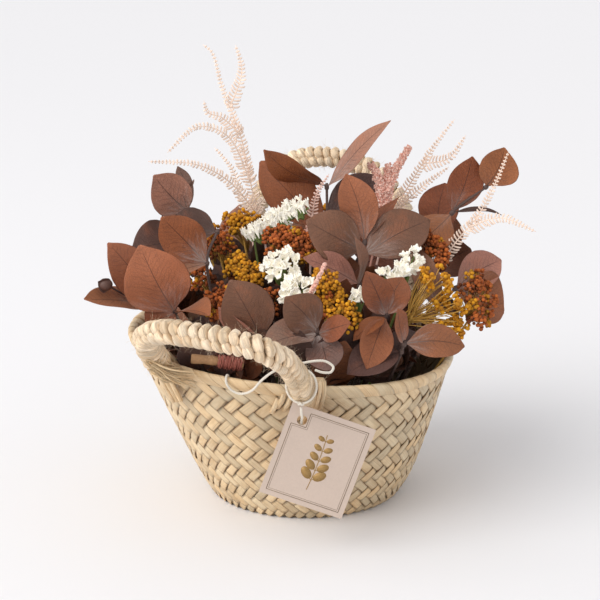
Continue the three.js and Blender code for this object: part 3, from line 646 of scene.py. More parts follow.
def rimFold(pile, angle, pitch, number, tone, chance):
    # A strip that folds over the rim at a slant and overlaps the one before it like a shingle.
    run = np.linspace(-10, 10, 22)[:, None]
    shares = np.linspace(-1, 1, 7)[None]
    bow = 0.35 * np.sin(run / 7)
    turn = angle - (run + 7) * basket["slant"] / basket["rimRadius"] + (shares * 0.6 + bow * 0.06) * pitch
    lift = 0.15 + 0.2 * shares + chance.normal(0, 0.06) + 0.22 * (1 - shares ** 2)
    lift = lift - np.clip(-run - 6, 0, None) * 0.5  # its outer end sinks behind the strips
    front = rimSkin(turn, run + 0 * turn, lift)
    back = rimSkin(turn, run + 0 * turn, lift - basket["thick"])[:, ::-1]
    points = np.concatenate([front, back], axis=1)
    around = points.shape[1]
    edge = np.tile(np.concatenate([shares[0], shares[0, ::-1]]), len(run))
    place = np.stack([np.repeat(run[:, 0], around), edge * pitch * 40, np.full(len(edge), number)], axis=1)
    pile.add(points, tubeFaces(len(run), around), place=place, tone=tone,
             share=np.stack([edge * 0.8, edge * 0, edge * 0], axis=1))


def makeBasket():
    chance = np.random.default_rng(11)
    pile = Pile()
    levels = basket["levels"]
    steps = np.linspace(-0.6, levels - 0.5, levels * 6 + 1)
    share = np.clip(steps / levels, 0, None)
    height = 0.965 * (0.88 * share + 0.12 * share ** 2)
    pitch = 2 * math.pi / basket["strips"]
    under = np.clip(-steps, 0, None)
    for lean in (1, -1):
        for i in range(basket["strips"]):
            angle = i * pitch + lean * steps * pitch / 2
            wave = weaveWave(steps, lean > 0)
            out = -1.35 + basket["weave"] * wave + chance.normal(0, 0.07)
            path = wallPoint(angle, height, out - under * 4)
            path[:, 2] = np.maximum(path[:, 2], 0.75 + under * 0.4)
            radius = np.linalg.norm(path[:, :2], axis=1)
            rise = np.arctan2(np.gradient(height) * basket["wallLength"], np.gradient(angle) * lean * radius)
            width = radius * pitch * np.sin(rise) * basket["cover"] * chance.uniform(0.93, 1.03)
            facing = outward(angle) + up * -0.35
            lifted = facing + np.cross(np.gradient(path, axis=0), facing) * chance.normal(0, 0.03)
            # Painted shade: a strip's tone darkens where it dives under its neighbours, down to 0.42 on its
            # hidden stretches.
            weaveShade = 0.42 + 0.58 * np.clip((wave + 0.15) / 0.9, 0, 1)
            strip(pile, path, lifted, width, i + 100 * lean, np.outer(weaveShade, stripTone(chance)))
    for i in range(basket["strips"]):
        rimFold(pile, (i - levels / 2 + 0.25) * pitch, pitch, 300 + i, stripTone(chance, 0.9), chance)
    return pile.piece("palm_basket", palmFinish, "palm", ["basket"])


footMat = dict(inset=1.5, pitch=6.6, height=1.9, weave=0.6, cover=0.93)


def makeFootMat():
    # The flat foot: straight strips woven two over, two under, cut round.
    chance = np.random.default_rng(12)
    pile = Pile()
    radius = basket["footRadius"] - footMat["inset"]
    pitch = footMat["pitch"]
    rows = round(2 * radius / pitch)
    for lean in (0, 1):
        for i in range(rows):
            offset = (i - (rows - 1) / 2) * pitch
            half = math.sqrt(max(radius ** 2 - offset ** 2, 0))
            if half < 5:
                continue
            along = np.linspace(-half, half, max(4, round(half)))
            level = along / pitch + (rows - 1) / 2
            wave = weaveWave(level + i, lean == 0)
            height = footMat["height"] + footMat["weave"] * wave
            path = np.stack([along, np.full_like(along, offset), height], axis=1)
            path = path[:, [1, 0, 2]] if lean else path
            facing = np.tile(-up, (len(path), 1))
            strip(pile, path, facing, pitch * footMat["cover"], 500 + i + 40 * lean, stripTone(chance))
    return pile.piece("palm_foot", palmFinish, "palm")


makeBasket()
makeFootMat()
print("basket")

# Handles.
handle = dict(radius=8, pitch=5.9, cord=2.6, core=4.4, hairs=900)
# toneShift: how much darker and tanner a handle grows towards its right foot, partly tan fibres, partly
# painted shade where it turns away from the light.
frontHandle = dict(facing=-90, swing=8, rise=85, lean=55.4, full=(0.6, 0.5),
                   feet=(-27, 21.4), drop=1.5, reach=4.6, beside=4, ridge=-52, wind=62, bare=23, toneShift=0.2)
backHandle = dict(facing=94, swing=0, rise=107, lean=9, full=(0.8, 0.75),
                  feet=(-36, 30), drop=4, reach=6.4, beside=5, ridge=178, wind=0, bare=0, toneShift=0)


def handlePath(arch):
    ends = []
    for turn in arch["feet"]:
        angle = np.array(math.radians(arch["facing"] + turn))
        ends.append(rimPoint(angle) + outward(angle) * arch["reach"] - up * arch["drop"])
    lean = math.radians(arch["lean"])
    swung = outward(np.array(math.radians(arch["facing"] + arch["swing"])))
    leaning = swung * math.sin(lean) + up * math.cos(lean)
    middle = (ends[0] + ends[1]) / 2
    half = (ends[1] - ends[0]) / 2
    points = [ends[0]]
    for k in range(-3, 4):
        angle = k / 4 * math.pi / 2
        along = math.copysign(abs(math.sin(angle)) ** arch["full"][0], k) if k else 0
        points.append(middle + half * along + leaning * arch["rise"] * math.cos(angle) ** arch["full"][1])
    return [*points, ends[1]]


def addFibres(pile, starts, outs, chance, length, number, radius=0.07, curl=0.5):
    # Loose hairs that stand off a rope, each a thin bent strand.
    for place, out in zip(starts, outs):
        reach = chance.uniform(*length)
        way = unit(out + chance.normal(0, 0.6, 3))
        bend = unit(np.cross(way, chance.normal(0, 1, 3)))
        t = np.linspace(0, 1, 6)[:, None]
        path = place + way * reach * t + bend * reach * curl * chance.uniform(-1, 1) * t ** 2
        sweep(pile, path, radius * np.linspace(1, 0.5, 6), 3, number=number + chance.uniform(0, 9))


def blendRows(rows, k):
    return np.stack([np.interp(k, np.arange(len(rows)), rows[:, j]) for j in range(3)], axis=1)


def hump(t, middle, width):
    return np.exp(-((t - middle) / width) ** 2)


def hitchedHandle(name, node, arch, seed):
    chance = np.random.default_rng(seed)
    pile = Pile()
    spine = curve(handlePath(arch), spacing=0.5)
    forward, side, _ = framesAlong(spine, outward(np.array(math.radians(arch["facing"]))))
    across = np.cross(forward, side)
    length = lengthOf(spine)
    turns = round(length / handle["pitch"])
    pitch = length / turns
    # The core gets a dim tone: painted shade in the gaps between the hitches.
    sweep(pile, spine, handle["core"], 10, number=50, tone=(0.45, 0.4, 0.34, 1))

    def onRope(s, angle, radius):
        k = np.clip(s / length * (len(spine) - 1), 0, len(spine) - 1)
        ring = blendRows(side, k) * np.cos(angle)[:, None] + blendRows(across, k) * np.sin(angle)[:, None]
        return blendRows(spine, k) + ring * np.asarray(radius)[:, None]

    # Each hitch comes out of the ridge, goes round the core and dives under the next one's start,
    # so that two rows of plump knuckles meet along the ridge, half a hitch apart.
    t = np.linspace(-0.035, 1.035, 64)
    for k in range(round(arch["bare"] / pitch), turns):
        share = max(2 * (k + 0.5) / turns - 1, 0)
        ridge = math.radians(arch["ridge"] + arch["wind"] * share ** 2)
        angle = ridge + 2 * math.pi * t + chance.normal(0, 0.05)
        plump = 1.25 * hump(t, 0.925, 0.055) + 1.05 * hump(t, 0.085, 0.055)
        dive = 1.9 * hump(t, 1.03, 0.035) + 1.9 * hump(t, -0.03, 0.035)
        radius = handle["radius"] - handle["cord"] - 0.35 + plump - dive + chance.normal(0, 0.1)
        slant = 0.3 * np.tanh((t - 0.5) * 3) + 0.22 * hump(t, 1.03, 0.06) - 0.22 * hump(t, -0.03, 0.06)
        slant += 2.6 * ((t - 0.925) * hump(t, 0.925, 0.1) + (t - 0.085) * hump(t, 0.085, 0.1))
        s = (k + 0.5 + slant) * pitch + chance.normal(0, 0.12)
        path = onRope(np.clip(s, 0.8, length - 0.8), angle, radius)
        girth = handle["cord"] * (1 + 0.07 * chance.normal()) * (1 + 0.10 * plump - 0.20 * dive)
        around = np.linspace(0, 2 * math.pi, 14, endpoint=False)[None]
        strands = 1 + 0.09 * np.cos(3 * around - (t * 7 + k)[:, None])
        strands = strands + 0.05 * np.cos(7 * around + (t * 5 + k)[:, None])
        # Painted shade: each hitch's tone darkens where it dives under the next one. toneShift darkens and
        # warms it towards the right foot: tan fibres and painted shade.
        light = chance.uniform(0.88, 1.05) * np.clip(1 - 0.34 * dive, 0.35, 1)
        light = light * (1 - arch["toneShift"] * share ** 2)
        tone = np.stack([light, light ** 1.2, light ** 1.6, np.ones_like(light)], axis=1)
        sweep(pile, path, girth[:, None] * strands, 14, number=k + seed, tone=tone)
    count = handle["hairs"]
    s = chance.uniform(0, length, count)
    angle = chance.uniform(0, 2 * math.pi, count)
    starts = onRope(s, angle, np.full(count, handle["radius"] - 0.4))
    centres = onRope(s, angle, np.zeros(count))
    outs = (starts - centres) / (handle["radius"] - 0.4)
    along = np.cross(onRope(np.clip(s + 1, 0, length), angle, np.zeros(count)) - centres, outs)
    ways = outs * chance.uniform(0.15, 0.7, (count, 1)) + along * chance.choice([-1, 1], (count, 1))
    addFibres(pile, starts, ways, chance, (2, 6.5), 70, radius=0.055)
    return pile.piece(name, sisalFinish, "rope", [node])


lashing = dict(radius=3, air=0.35, yarns=4, yarn=1.5, apart=2.5, hairs=110)


def lashingPath(arch, foot):
    gap = lashing["radius"] + lashing["air"]
    sign = 1 if foot else -1
    marks = [(-3.4, 0.76, gap + 1, 0), (-1.4, 0.88, gap + 0.4, 0), (-0.2, 1, gap + 0.2, 0),
             (0, 1, -basket["wall"] / 2, gap + 1.2), (0, 1, -basket["wall"] - gap, 0),
             (0, 0.88, -basket["wall"] - gap - 0.4, 0), (0, 0.76, -basket["wall"] - gap - 1, 0)]
    points = []
    for turn, height, out, lift in marks:
        bearing = math.radians(arch["facing"] + arch["feet"][foot] + sign * (arch["beside"] + turn))
        points.append(wallPoint(bearing, height, out) + up * lift)
    return points


def makeLashing(name, node, arch, foot, seed):
    # Loose yarns side by side, carried over the rim.
    chance = np.random.default_rng(seed)
    pile = Pile()
    path = curve(lashingPath(arch, foot), spacing=0.6)
    forward = unitRows(np.gradient(path, axis=0))
    away = outward(np.array(math.radians(arch["facing"] + arch["feet"][foot])))
    side = np.cross(forward, away) + forward * 0.01 + np.cross(away, up) * 0.4
    side -= forward * (side * forward).sum(axis=1)[:, None]
    side = unitRows(side)
    t = np.linspace(0, 1, len(path))
    for yarn in range(lashing["yarns"]):
        shift = (yarn - (lashing["yarns"] - 1) / 2) * lashing["apart"] + chance.normal(0, 0.3)
        shift = shift + 0.7 * np.sin(t * 5 + yarn * 2)
        around = np.linspace(0, 2 * math.pi, 12, endpoint=False)[None]
        lobes = 1 + 0.10 * np.cos(2 * around - (t * 14 + yarn)[:, None])
        lobes = lobes + 0.05 * np.cos(5 * around + (t * 9)[:, None])
        light = chance.uniform(0.74, 0.98)
        lift = chance.uniform(-0.7, 0.5)
        beside = path + side * shift[:, None] + away * lift
        sweep(pile, beside, lashing["yarn"] * lobes, 12, number=seed * 3 + yarn,
              tone=(light, light * 0.93, light * 0.8, 1))
    hairs = lashing["hairs"]
    picks = chance.integers(2, len(path) - 2, hairs)
    outs = chance.normal(0, 1, (hairs, 3))
    starts = path[picks] + side[picks] * chance.uniform(-4, 4, (hairs, 1)) + unitRows(outs) * 1.6
    addFibres(pile, starts, outs, chance, (2, 7), 80)
    return pile.piece(name, sisalFinish, "rope", [node])


fray = dict(yarns=130, fibres=340)


def makeFray():
    # The front handle's left foot, unwound: its yarns run down over the rim, with loose fibres over them.
    chance = np.random.default_rng(51)
    pile = Pile()
    bearing = math.radians(frontHandle["facing"] + frontHandle["feet"][0])
    rope = curve(handlePath(frontHandle), spacing=1)
    lean = math.radians(frontHandle["lean"])
    under = outward(np.array(math.radians(frontHandle["facing"]))) * math.cos(lean) - up * math.sin(lean)
    _, side, _ = framesAlong(rope, outward(np.array(math.radians(frontHandle["facing"]))))
    across = np.cross(np.gradient(rope, axis=0), side)
    for k in range(fray["yarns"]):
        angle = chance.uniform(0, 2 * math.pi)
        ring = side * math.cos(angle) + across * math.sin(angle)
        marks = [(chance.integers(24, 33), chance.uniform(5.6, 7.6)),
                 (15, chance.uniform(5.4, 7.8)), (5, chance.uniform(4, 6.6))]
        points = [rope[at] + ring[at] * out for at, out in marks]
        spot = math.atan2(points[-1][1] + basket["shift"] * 0.3, points[-1][0] + basket["shift"])
        spot += chance.normal(0.03, 0.03)
        points.append(wallPoint(spot, chance.uniform(0.88, 0.97), chance.uniform(0.8, 3)))
        light = chance.uniform(0.95, 1.35)
        girth = chance.choice([0.3, 0.6, 1.0], p=[0.4, 0.35, 0.25])
        sweep(pile, curve(points, steps=14), pointed(15, girth, 0.3), 6, number=k,
              tone=(light, light, light * 1.04, 1))
    for k in range(fray["fibres"]):
        turn = chance.normal(0.05, 0.04)
        drop = chance.uniform(-0.03, 0.10)
        lift = chance.uniform(0.8, 6)
        start = rope[chance.integers(8, 40)] + unit(under + chance.normal(0, 0.3, 3)) * chance.uniform(7, 9)
        end = wallPoint(bearing + turn * 1.7, 1 - drop, lift * 0.8 + chance.uniform(0, 1.5))
        middle = (start + end) / 2 + under * chance.uniform(-1, 3)
        path = curve([start, middle, end], steps=8)
        light = chance.uniform(0.6, 1.15)
        girth = chance.choice([0.11, 0.2, 0.42, 0.6], p=[0.45, 0.3, 0.17, 0.08])
        sweep(pile, path, pointed(len(path), girth, 0.3), 5, number=k,
              tone=(light, light * 0.98, light * 0.94, 1))
    return pile.piece("frayed_ends", frayFinish, "rope")


def makeStub():
    # A short bight of yarn that shows through the weave beside the front handle's right foot.
    chance = np.random.default_rng(52)
    pile = Pile()
    bearing = math.radians(frontHandle["facing"] + frontHandle["feet"][1])
    for k, (turn, height) in enumerate([(-0.175, 0.86), (-0.135, 0.90), (-0.10, 0.885)]):
        ends = [(-0.028, -0.05, -1.5), (-0.012, -0.02, 1.2), (0.006, 0.012, 2.0), (0.022, 0.05, -1.0)]
        path = curve([wallPoint(bearing + turn + a, height + h, out) for a, h, out in ends], spacing=0.5)
        sweep(pile, path, 1.7, 10, number=k + 3, tone=(0.92, 0.88, 0.78, 1))
        outs = chance.normal(0, 1, (24, 3))
        addFibres(pile, path[chance.integers(1, len(path) - 1, 24)], outs, chance, (2, 4), 60 + k)
    return pile.piece("rope_stub", sisalFinish, "rope")


hitchedHandle("front_rope_handle", "front_handle", frontHandle, 21)
hitchedHandle("back_rope_handle", "back_handle", backHandle, 22)
for number, (side, arch, foot, end) in enumerate([
        ("front", frontHandle, 0, "left"), ("front", frontHandle, 1, "right"),
        ("back", backHandle, 0, "left"), ("back", backHandle, 1, "right")]):
    makeLashing(f"{side}_tie_rope_{end}", f"{side}_lashing_{end}", arch, foot, 31 + number)
makeFray()
makeStub()
print("handles")


# The turn of string and its knot: how far up the handle it lies, and how far out from its middle.
tie = dict(middle=14.5, slant=5, reach=handle["radius"] + 0.35 + string["radius"])


def makeTie():
    spine = curve(handlePath(frontHandle), spacing=0.25)
    length = lengthOf(spine)
    forwards = np.gradient(spine, axis=0)
    angles = np.linspace(0, 2 * math.pi, 73)
    points = []
    for angle in angles:
        k = round((1 - (tie["middle"] - tie["slant"] * math.cos(angle)) / length) * (len(spine) - 1))
        forward = unit(forwards[k])
        side = unit(np.cross(forward, up))
        below = unit(np.cross(forward, side))
        points.append(spine[k] + (below * math.cos(angle) + side * math.sin(angle)) * tie["reach"])
    pile = Pile()
    addString(pile, points, 5)
    knot = points[0]
    forward = unit(forwards[round((1 - (tie["middle"] - tie["slant"]) / length) * (len(spine) - 1))])
    side = unit(np.cross(forward, up))
    below = unit(np.cross(forward, side))
    t = np.linspace(0, 2 * math.pi, 60)[:, None]  # an overhand knot is drawn as a trefoil round the string
    trefoil = (side * (np.sin(t) + 2 * np.sin(2 * t)) + forward * (np.cos(t) - 2 * np.cos(2 * t)) * 0.8
               - below * np.sin(3 * t) * 0.9)
    ring = knot + below * 0.5 + trefoil * 0.52
    sweep(pile, ring, string["radius"] * 0.85, 10, number=6)
    return pile.piece("string_turn", cottonFinish, "cotton", ["string_tie"])


declareString(bowPath, [makeTie()])  # the turn and its knot hold the bow

# Tag.
tag = dict(width=53.5, height=61.5, thick=0.6, holeInset=9.2, turn=-19.8,
           hole=(-1.7, -122, 88.4), ink=0.06, border=3.4, gap=1.1)


def onCard(points, lift):
    # Millimetres right of and above the hole on the card's own face, lifted off its front.
    turn = math.radians(tag["turn"])
    points = np.asarray(points, float)
    x = points[:, 0] * math.cos(turn) - points[:, 1] * math.sin(turn)
    z = points[:, 0] * math.sin(turn) + points[:, 1] * math.cos(turn)
    y = np.full(len(points), -tag["thick"] / 2 - lift)
    return np.stack([x, y, z], axis=1) + np.array(tag["hole"])


def inkPatch(pile, outline):
    # A thin printed patch with square edges, filled inside its outline.
    count = len(outline)
    front = onCard(outline, tag["ink"])
    back = onCard(outline, 0.005)
    ring = np.arange(count)
    after = (ring + 1) % count
    walls = np.stack([ring, ring + count, after + count, after], axis=1)
    pile.add(np.concatenate([front, back]), [[ring], [(ring + count)[::-1]], walls])


def inkLine(pile, points, width):
    points = np.asarray(points, float)
    way = unitRows(np.gradient(points, axis=0))
    normal = np.stack([-way[:, 1], way[:, 0]], axis=1) * width / 2
    inkPatch(pile, np.concatenate([points + normal, (points - normal)[::-1]]))


def makeTag():
    left, right = -tag["holeInset"], tag["width"] - tag["holeInset"]
    top, bottom = tag["holeInset"], tag["holeInset"] - tag["height"]
    lines = Pile()
    for inset, width in ((tag["border"], 0.45), (tag["border"] + tag["gap"], 0.22)):
        x0, x1, z0, z1 = left + inset, right - inset, bottom + inset, top - inset
        skip = 9.5  # the border steps in round the hole
        corners = [(x0 + skip, z1), (x1, z1), (x1, z0), (x0, z0), (x0, z1 - skip),
                   (x0 + skip, z1 - skip), (x0 + skip, z1)]
        for a, b in zip(corners, corners[1:]):
            inkLine(lines, np.linspace(a, b, 4), width)
    lines.piece("tag_border", inkFinish("taupe_ink", "8d7a66"), "card", fromFlowers=True)
    sprig = Pile()
    middle = (left + right) / 2
    sway = 0.9 * np.sin(np.linspace(0, 3, 18))
    stem = np.stack([middle + sway, np.linspace(bottom + 11, top - 13, 18)], axis=1)
    inkLine(sprig, stem, 0.5)
    for k in range(5):  # pairs of round leaves, smaller towards the top
        base = stem[3 + 3 * k]
        size = 4.6 - 0.55 * k
        for sign in (-1, 1):
            lean = math.radians(48 + 5 * k)
            centre = base + size * 1.25 * np.array([sign * math.sin(lean), math.cos(lean)])
            t = np.linspace(0, 2 * math.pi, 22, endpoint=False)
            along = np.array([sign * math.sin(lean), math.cos(lean)])
            wide = np.array([along[1], -along[0]])
            leaf = centre + size * (np.cos(t)[:, None] * along * 0.95 + np.sin(t)[:, None] * wide * 0.62)
            inkPatch(sprig, leaf[::-1])
            inkLine(sprig, np.linspace(base, base + along * size * 0.4, 3), 0.4)
    sprig.piece("tag_sprig", inkFinish("gold_ink", "a5824c"), "card", fromFlowers=True)
    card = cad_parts["tag"]
    card.data.materials.clear()
    card.data.materials.append(cardFinish())


makeTag()
print("tag")

# Stems in the foam.
stems = dict(rootHeight=46, focus=-60, radius=1.3, tip=2.2, knot=[1.35, 1.7, 1.6, 1.2])
tones = {name: tint(code) for name, code in dict(
    brown="a0603c", copper="8f4f2c", dark="583b31", umber="7d533d", mauve="86675a", rose="a87560",
    stalk="5d4a44", twig="4b3a36", tan="a07a55", rust="bd6526", deepRust="95481a", gold="dd9d16",
    deepGold="b5740f", cream="fbf6e9", green="6d7c42", blush="efd9c8", palePink="f0cdbf", pink="d9a08e",
    straw="d2a450").items()}


def rootUnder(place):
    focus = np.array([0, 0, stems["focus"]])
    return focus + (place - focus) * (stems["rootHeight"] - stems["focus"]) / (place[2] - stems["focus"])


def addStem(pile, path, tone="stalk", radius=None):
    radius = radius or stems["radius"]
    whole = curve([rootUnder(path[0]), *path], spacing=3)
    sweep(pile, whole, radius * np.linspace(1, 0.72, len(whole)), 8, number=3, tone=tones[tone])


def nearestOn(path, place):
    best = path[0]
    for a, b in zip(path, path[1:]):
        share = np.clip((place - a).dot(b - a) / (b - a).dot(b - a), 0, 1)
        near = a + (b - a) * share
        if np.linalg.norm(near - place) < np.linalg.norm(best - place):
            best = near
    return best


# Eucalyptus.
blade = dict(thick=0.26, arch=0.06, cup=0.16, rows=26, columns=12)
bladeShares = [0, 0.05, 0.11, 0.2, 0.33, 0.47, 0.62, 0.76, 0.87, 0.95, 1]
bladeHalves = [0.03, 0.045, 0.28, 0.62, 0.88, 0.99, 0.98, 0.82, 0.56, 0.25, 0.012]
# A leaf is its foot, tip, width, facing, tone and wax. Flowers' frame, in millimetres.
eucalyptus = [
    dict(stem=[(-97, -60, 144)], bud=((-123, -80, 162), 4.6), leaves=[
        ((-97, -60, 144), (-122, -70, 186), 28, (0.5, -0.8, 0.2), "brown", 0.5),
        ((-97, -60, 144), (-135, -92, 156), 22, (0, -0.6, 0.9), "brown", 0.8)]),
    dict(stem=[(-81, -73, 142)], leaves=[
        ((-81, -73, 142), (-101, -84, 188), 42, (0.1, -1, 0.1), "brown", 0.45),
        ((-81, -73, 141), (-58, -94, 146), 22, (0.2, -0.3, 1), "brown", 0.3),
        ((-82, -73, 141), (-98, -90, 141), 20, (-0.2, -0.5, 1), "copper", 0.3)]),
    dict(stem=[(-62, -48, 167), (-56, -32, 184)], leaves=[
        ((-62, -49, 168), (-89, -64, 201), 28, (-0.1, -0.9, 0.4), "brown", 0.9),
        ((-61, -48, 167), (-83, -68, 165), 17, (0, -0.4, 1), "rose", 0.4),
        ((-56, -32, 184), (-84, -36, 194), 24, (0, -0.7, 0.7), "dark", 0.15)]),
    dict(stem=[(-74, -24, 176), (-75, -21, 195)], leaves=[
        ((-75, -22, 195), (-96, -32, 221), 28, (0.2, -1, 0.2), "rose", 0.6),
        ((-76, -21, 196), (-82, -12, 223), 17, (0.9, -0.5, 0), "mauve", 0.3),
        ((-74, -21, 195), (-72, -6, 213), 14, (-0.9, -0.6, 0), "mauve", 0.3),
        ((-74, -24, 176), (-110, -42, 175), 34, (-0.3, -0.9, 0.4), "dark", 0.35)]),
    dict(stem=[(15, 22, 172), (15, 30, 201)], leaves=[
        ((14, 30, 201), (-27, 18, 228), 26, (-0.3, -0.7, -0.6), "copper", 0.3),
        ((15, 30, 200), (57, 22, 247), 20, (-0.6, -0.5, 0.6), "rose", 0.6),
        ((14, 22, 173), (-30, 40, 216), 34, (0.3, -0.9, 0.3), "copper", 0.15),
        ((15, 24, 177), (50, 53, 204), 30, (-0.2, -0.9, 0.3), "dark", 0.35)]),
    dict(stem=[(35, -36, 148), (39, -18, 174)], leaves=[
        ((39, -18, 175), (27, -8, 217), 26, (0.1, -1, 0.1), "brown", 0.35),
        ((38, -19, 168), (1, -30, 191), 34, (0, -0.9, 0.45), "umber", 0.3),
        ((38, -22, 166), (82, -6, 186), 32, (0, -0.9, 0.5), "umber", 0.5),
        ((40, -18, 173), (62, 8, 198), 20, (-0.7, -0.3, 0.6), "copper", 0.2),
        ((35, -37, 150), (32, -42, 183), 18, (0.9, -0.4, 0), "rose", 0.6),
        ((35, -36, 151), (-1, -44, 170), 20, (0, -0.7, 0.7), "rose", 0.3)]),
    dict(stem=[(90, 32, 164), (99, 24, 184), (121, 22, 202)], leaves=[
        ((90, 32, 165), (96, 46, 200), 28, (-0.1, -1, 0.2), "copper", 0.2),
        ((99, 24, 184), (111, 16, 224), 25, (0.2, -1, 0.1), "copper", 0.5),
        ((99, 23, 183), (66, -2, 163), 32, (-0.2, -0.8, 0.6), "brown", 0.2),
        ((121, 22, 202), (132, 16, 230), 27, (0.1, -1, 0.1), "brown", 0.1),
        ((100, 25, 184), (133, 26, 182), 5, (0, -0.6, 1), "dark", 0.1)]),
    dict(stem=[(88, -26, 132), (100, -6, 140)], leaves=[
        ((88, -26, 133), (73, -12, 168), 18, (-0.2, -0.9, 0.3), "rose", 0.6),
        ((100, -6, 140), (132, 14, 154), 26, (0.3, -0.8, 0.5), "rose", 0.4),
        ((99, -7, 139), (134, 6, 120), 36, (0.5, -0.8, 0.4), "brown", 0.4)]),
    dict(stem=[(-27, -79, 126)], leaves=[
        ((-27, -79, 127), (-46, -88, 167), 34, (0.1, -1, 0.2), "umber", 0.1),
        ((-28, -79, 124), (-53, -88, 150), 14, (-0.7, -0.6, 0.3), "rose", 0.2)]),
    dict(stem=[(8, -82, 131), (6, -76, 148)], leaves=[
        ((8, -82, 132), (-12, -94, 158), 27, (-0.1, -0.9, 0.5), "umber", 0.7),
        ((8, -82, 130), (-25, -102, 129), 26, (-0.2, -0.6, 0.9), "mauve", 0.9),
        ((8, -82, 131), (28, -96, 142), 18, (0.2, -0.8, 0.6), "copper", 0.5),
        ((8, -82, 129), (14, -102, 113), 24, (0.1, -0.9, 0.4), "mauve", 1.0)]),
    dict(stem=[(51, -67, 138)], leaves=[
        ((51, -67, 139), (38, -74, 169), 20, (0.2, -1, 0.1), "copper", 0.6),
        ((51, -67, 139), (62, -58, 161), 23, (-0.2, -1, 0.2), "copper", 0.4),
        ((51, -68, 137), (38, -94, 112), 22, (0.3, -0.8, 0.4), "brown", 0.1),
        ((50, -68, 137), (30, -84, 127), 12, (-0.4, -0.7, 0.5), "copper", 0.0)]),
    dict(stem=[(60, -76, 116), (62, -80, 124)], leaves=[
        ((62, -80, 123), (57, -88, 149), 15, (0.8, -0.6, 0), "brown", 0.5),
        ((62, -80, 124), (100, -76, 121), 23, (0, -0.8, 0.6), "brown", 0.5),
        ((60, -76, 118), (26, -92, 108), 26, (0, -0.6, 0.8), "dark", 0.0)]),
    dict(stem=[(-50, -74, 119)], leaves=[
        ((-50, -74, 120), (-79, -88, 127), 20, (-0.1, -0.6, 0.8), "dark", 0.2),
        ((-50, -75, 119), (-26, -84, 118), 18, (0, -0.6, 0.8), "dark", 0.1)]),
]
# At the back the sprays repeat by rule: bearing, height, reach.
backSprays = [(22, 142, 98), (60, 137, 75), (89, 129, 88), (119, 142, 76), (145, 140, 98), (172, 150, 82)]


def backSpray(bearing, height, reach, number):
    angle = math.radians(bearing)
    out = outward(np.array(angle))
    across = outward(np.array(angle + math.pi / 2))

    def place(o, a, z):
        return out * (reach + o) + across * a + up * (height + z)

    low, middle, top = place(-14, 0, -16), place(-6, 0, -6), place(0, 0, 4)
    facing = out + up * 0.35
    mix = ["brown", "copper", "umber", "rose", "dark", "mauve"]
    ends = [(top, place(13, 3, 36), 30, 0.3), (middle, place(8, 30, 14), 28, 0.6),
            (place(-3, 0, -1), place(10, -30, 20), 28, 0.15), (low, place(6, 24, -30), 26, 0.5),
            (place(-12, 0, -13), place(8, -20, -32), 24, 0.2)]
    leaves = [(foot, tip, width, facing, mix[(number + k) % len(mix)], wax)
              for k, (foot, tip, width, wax) in enumerate(ends)]
    return dict(stem=[low, top], leaves=leaves)


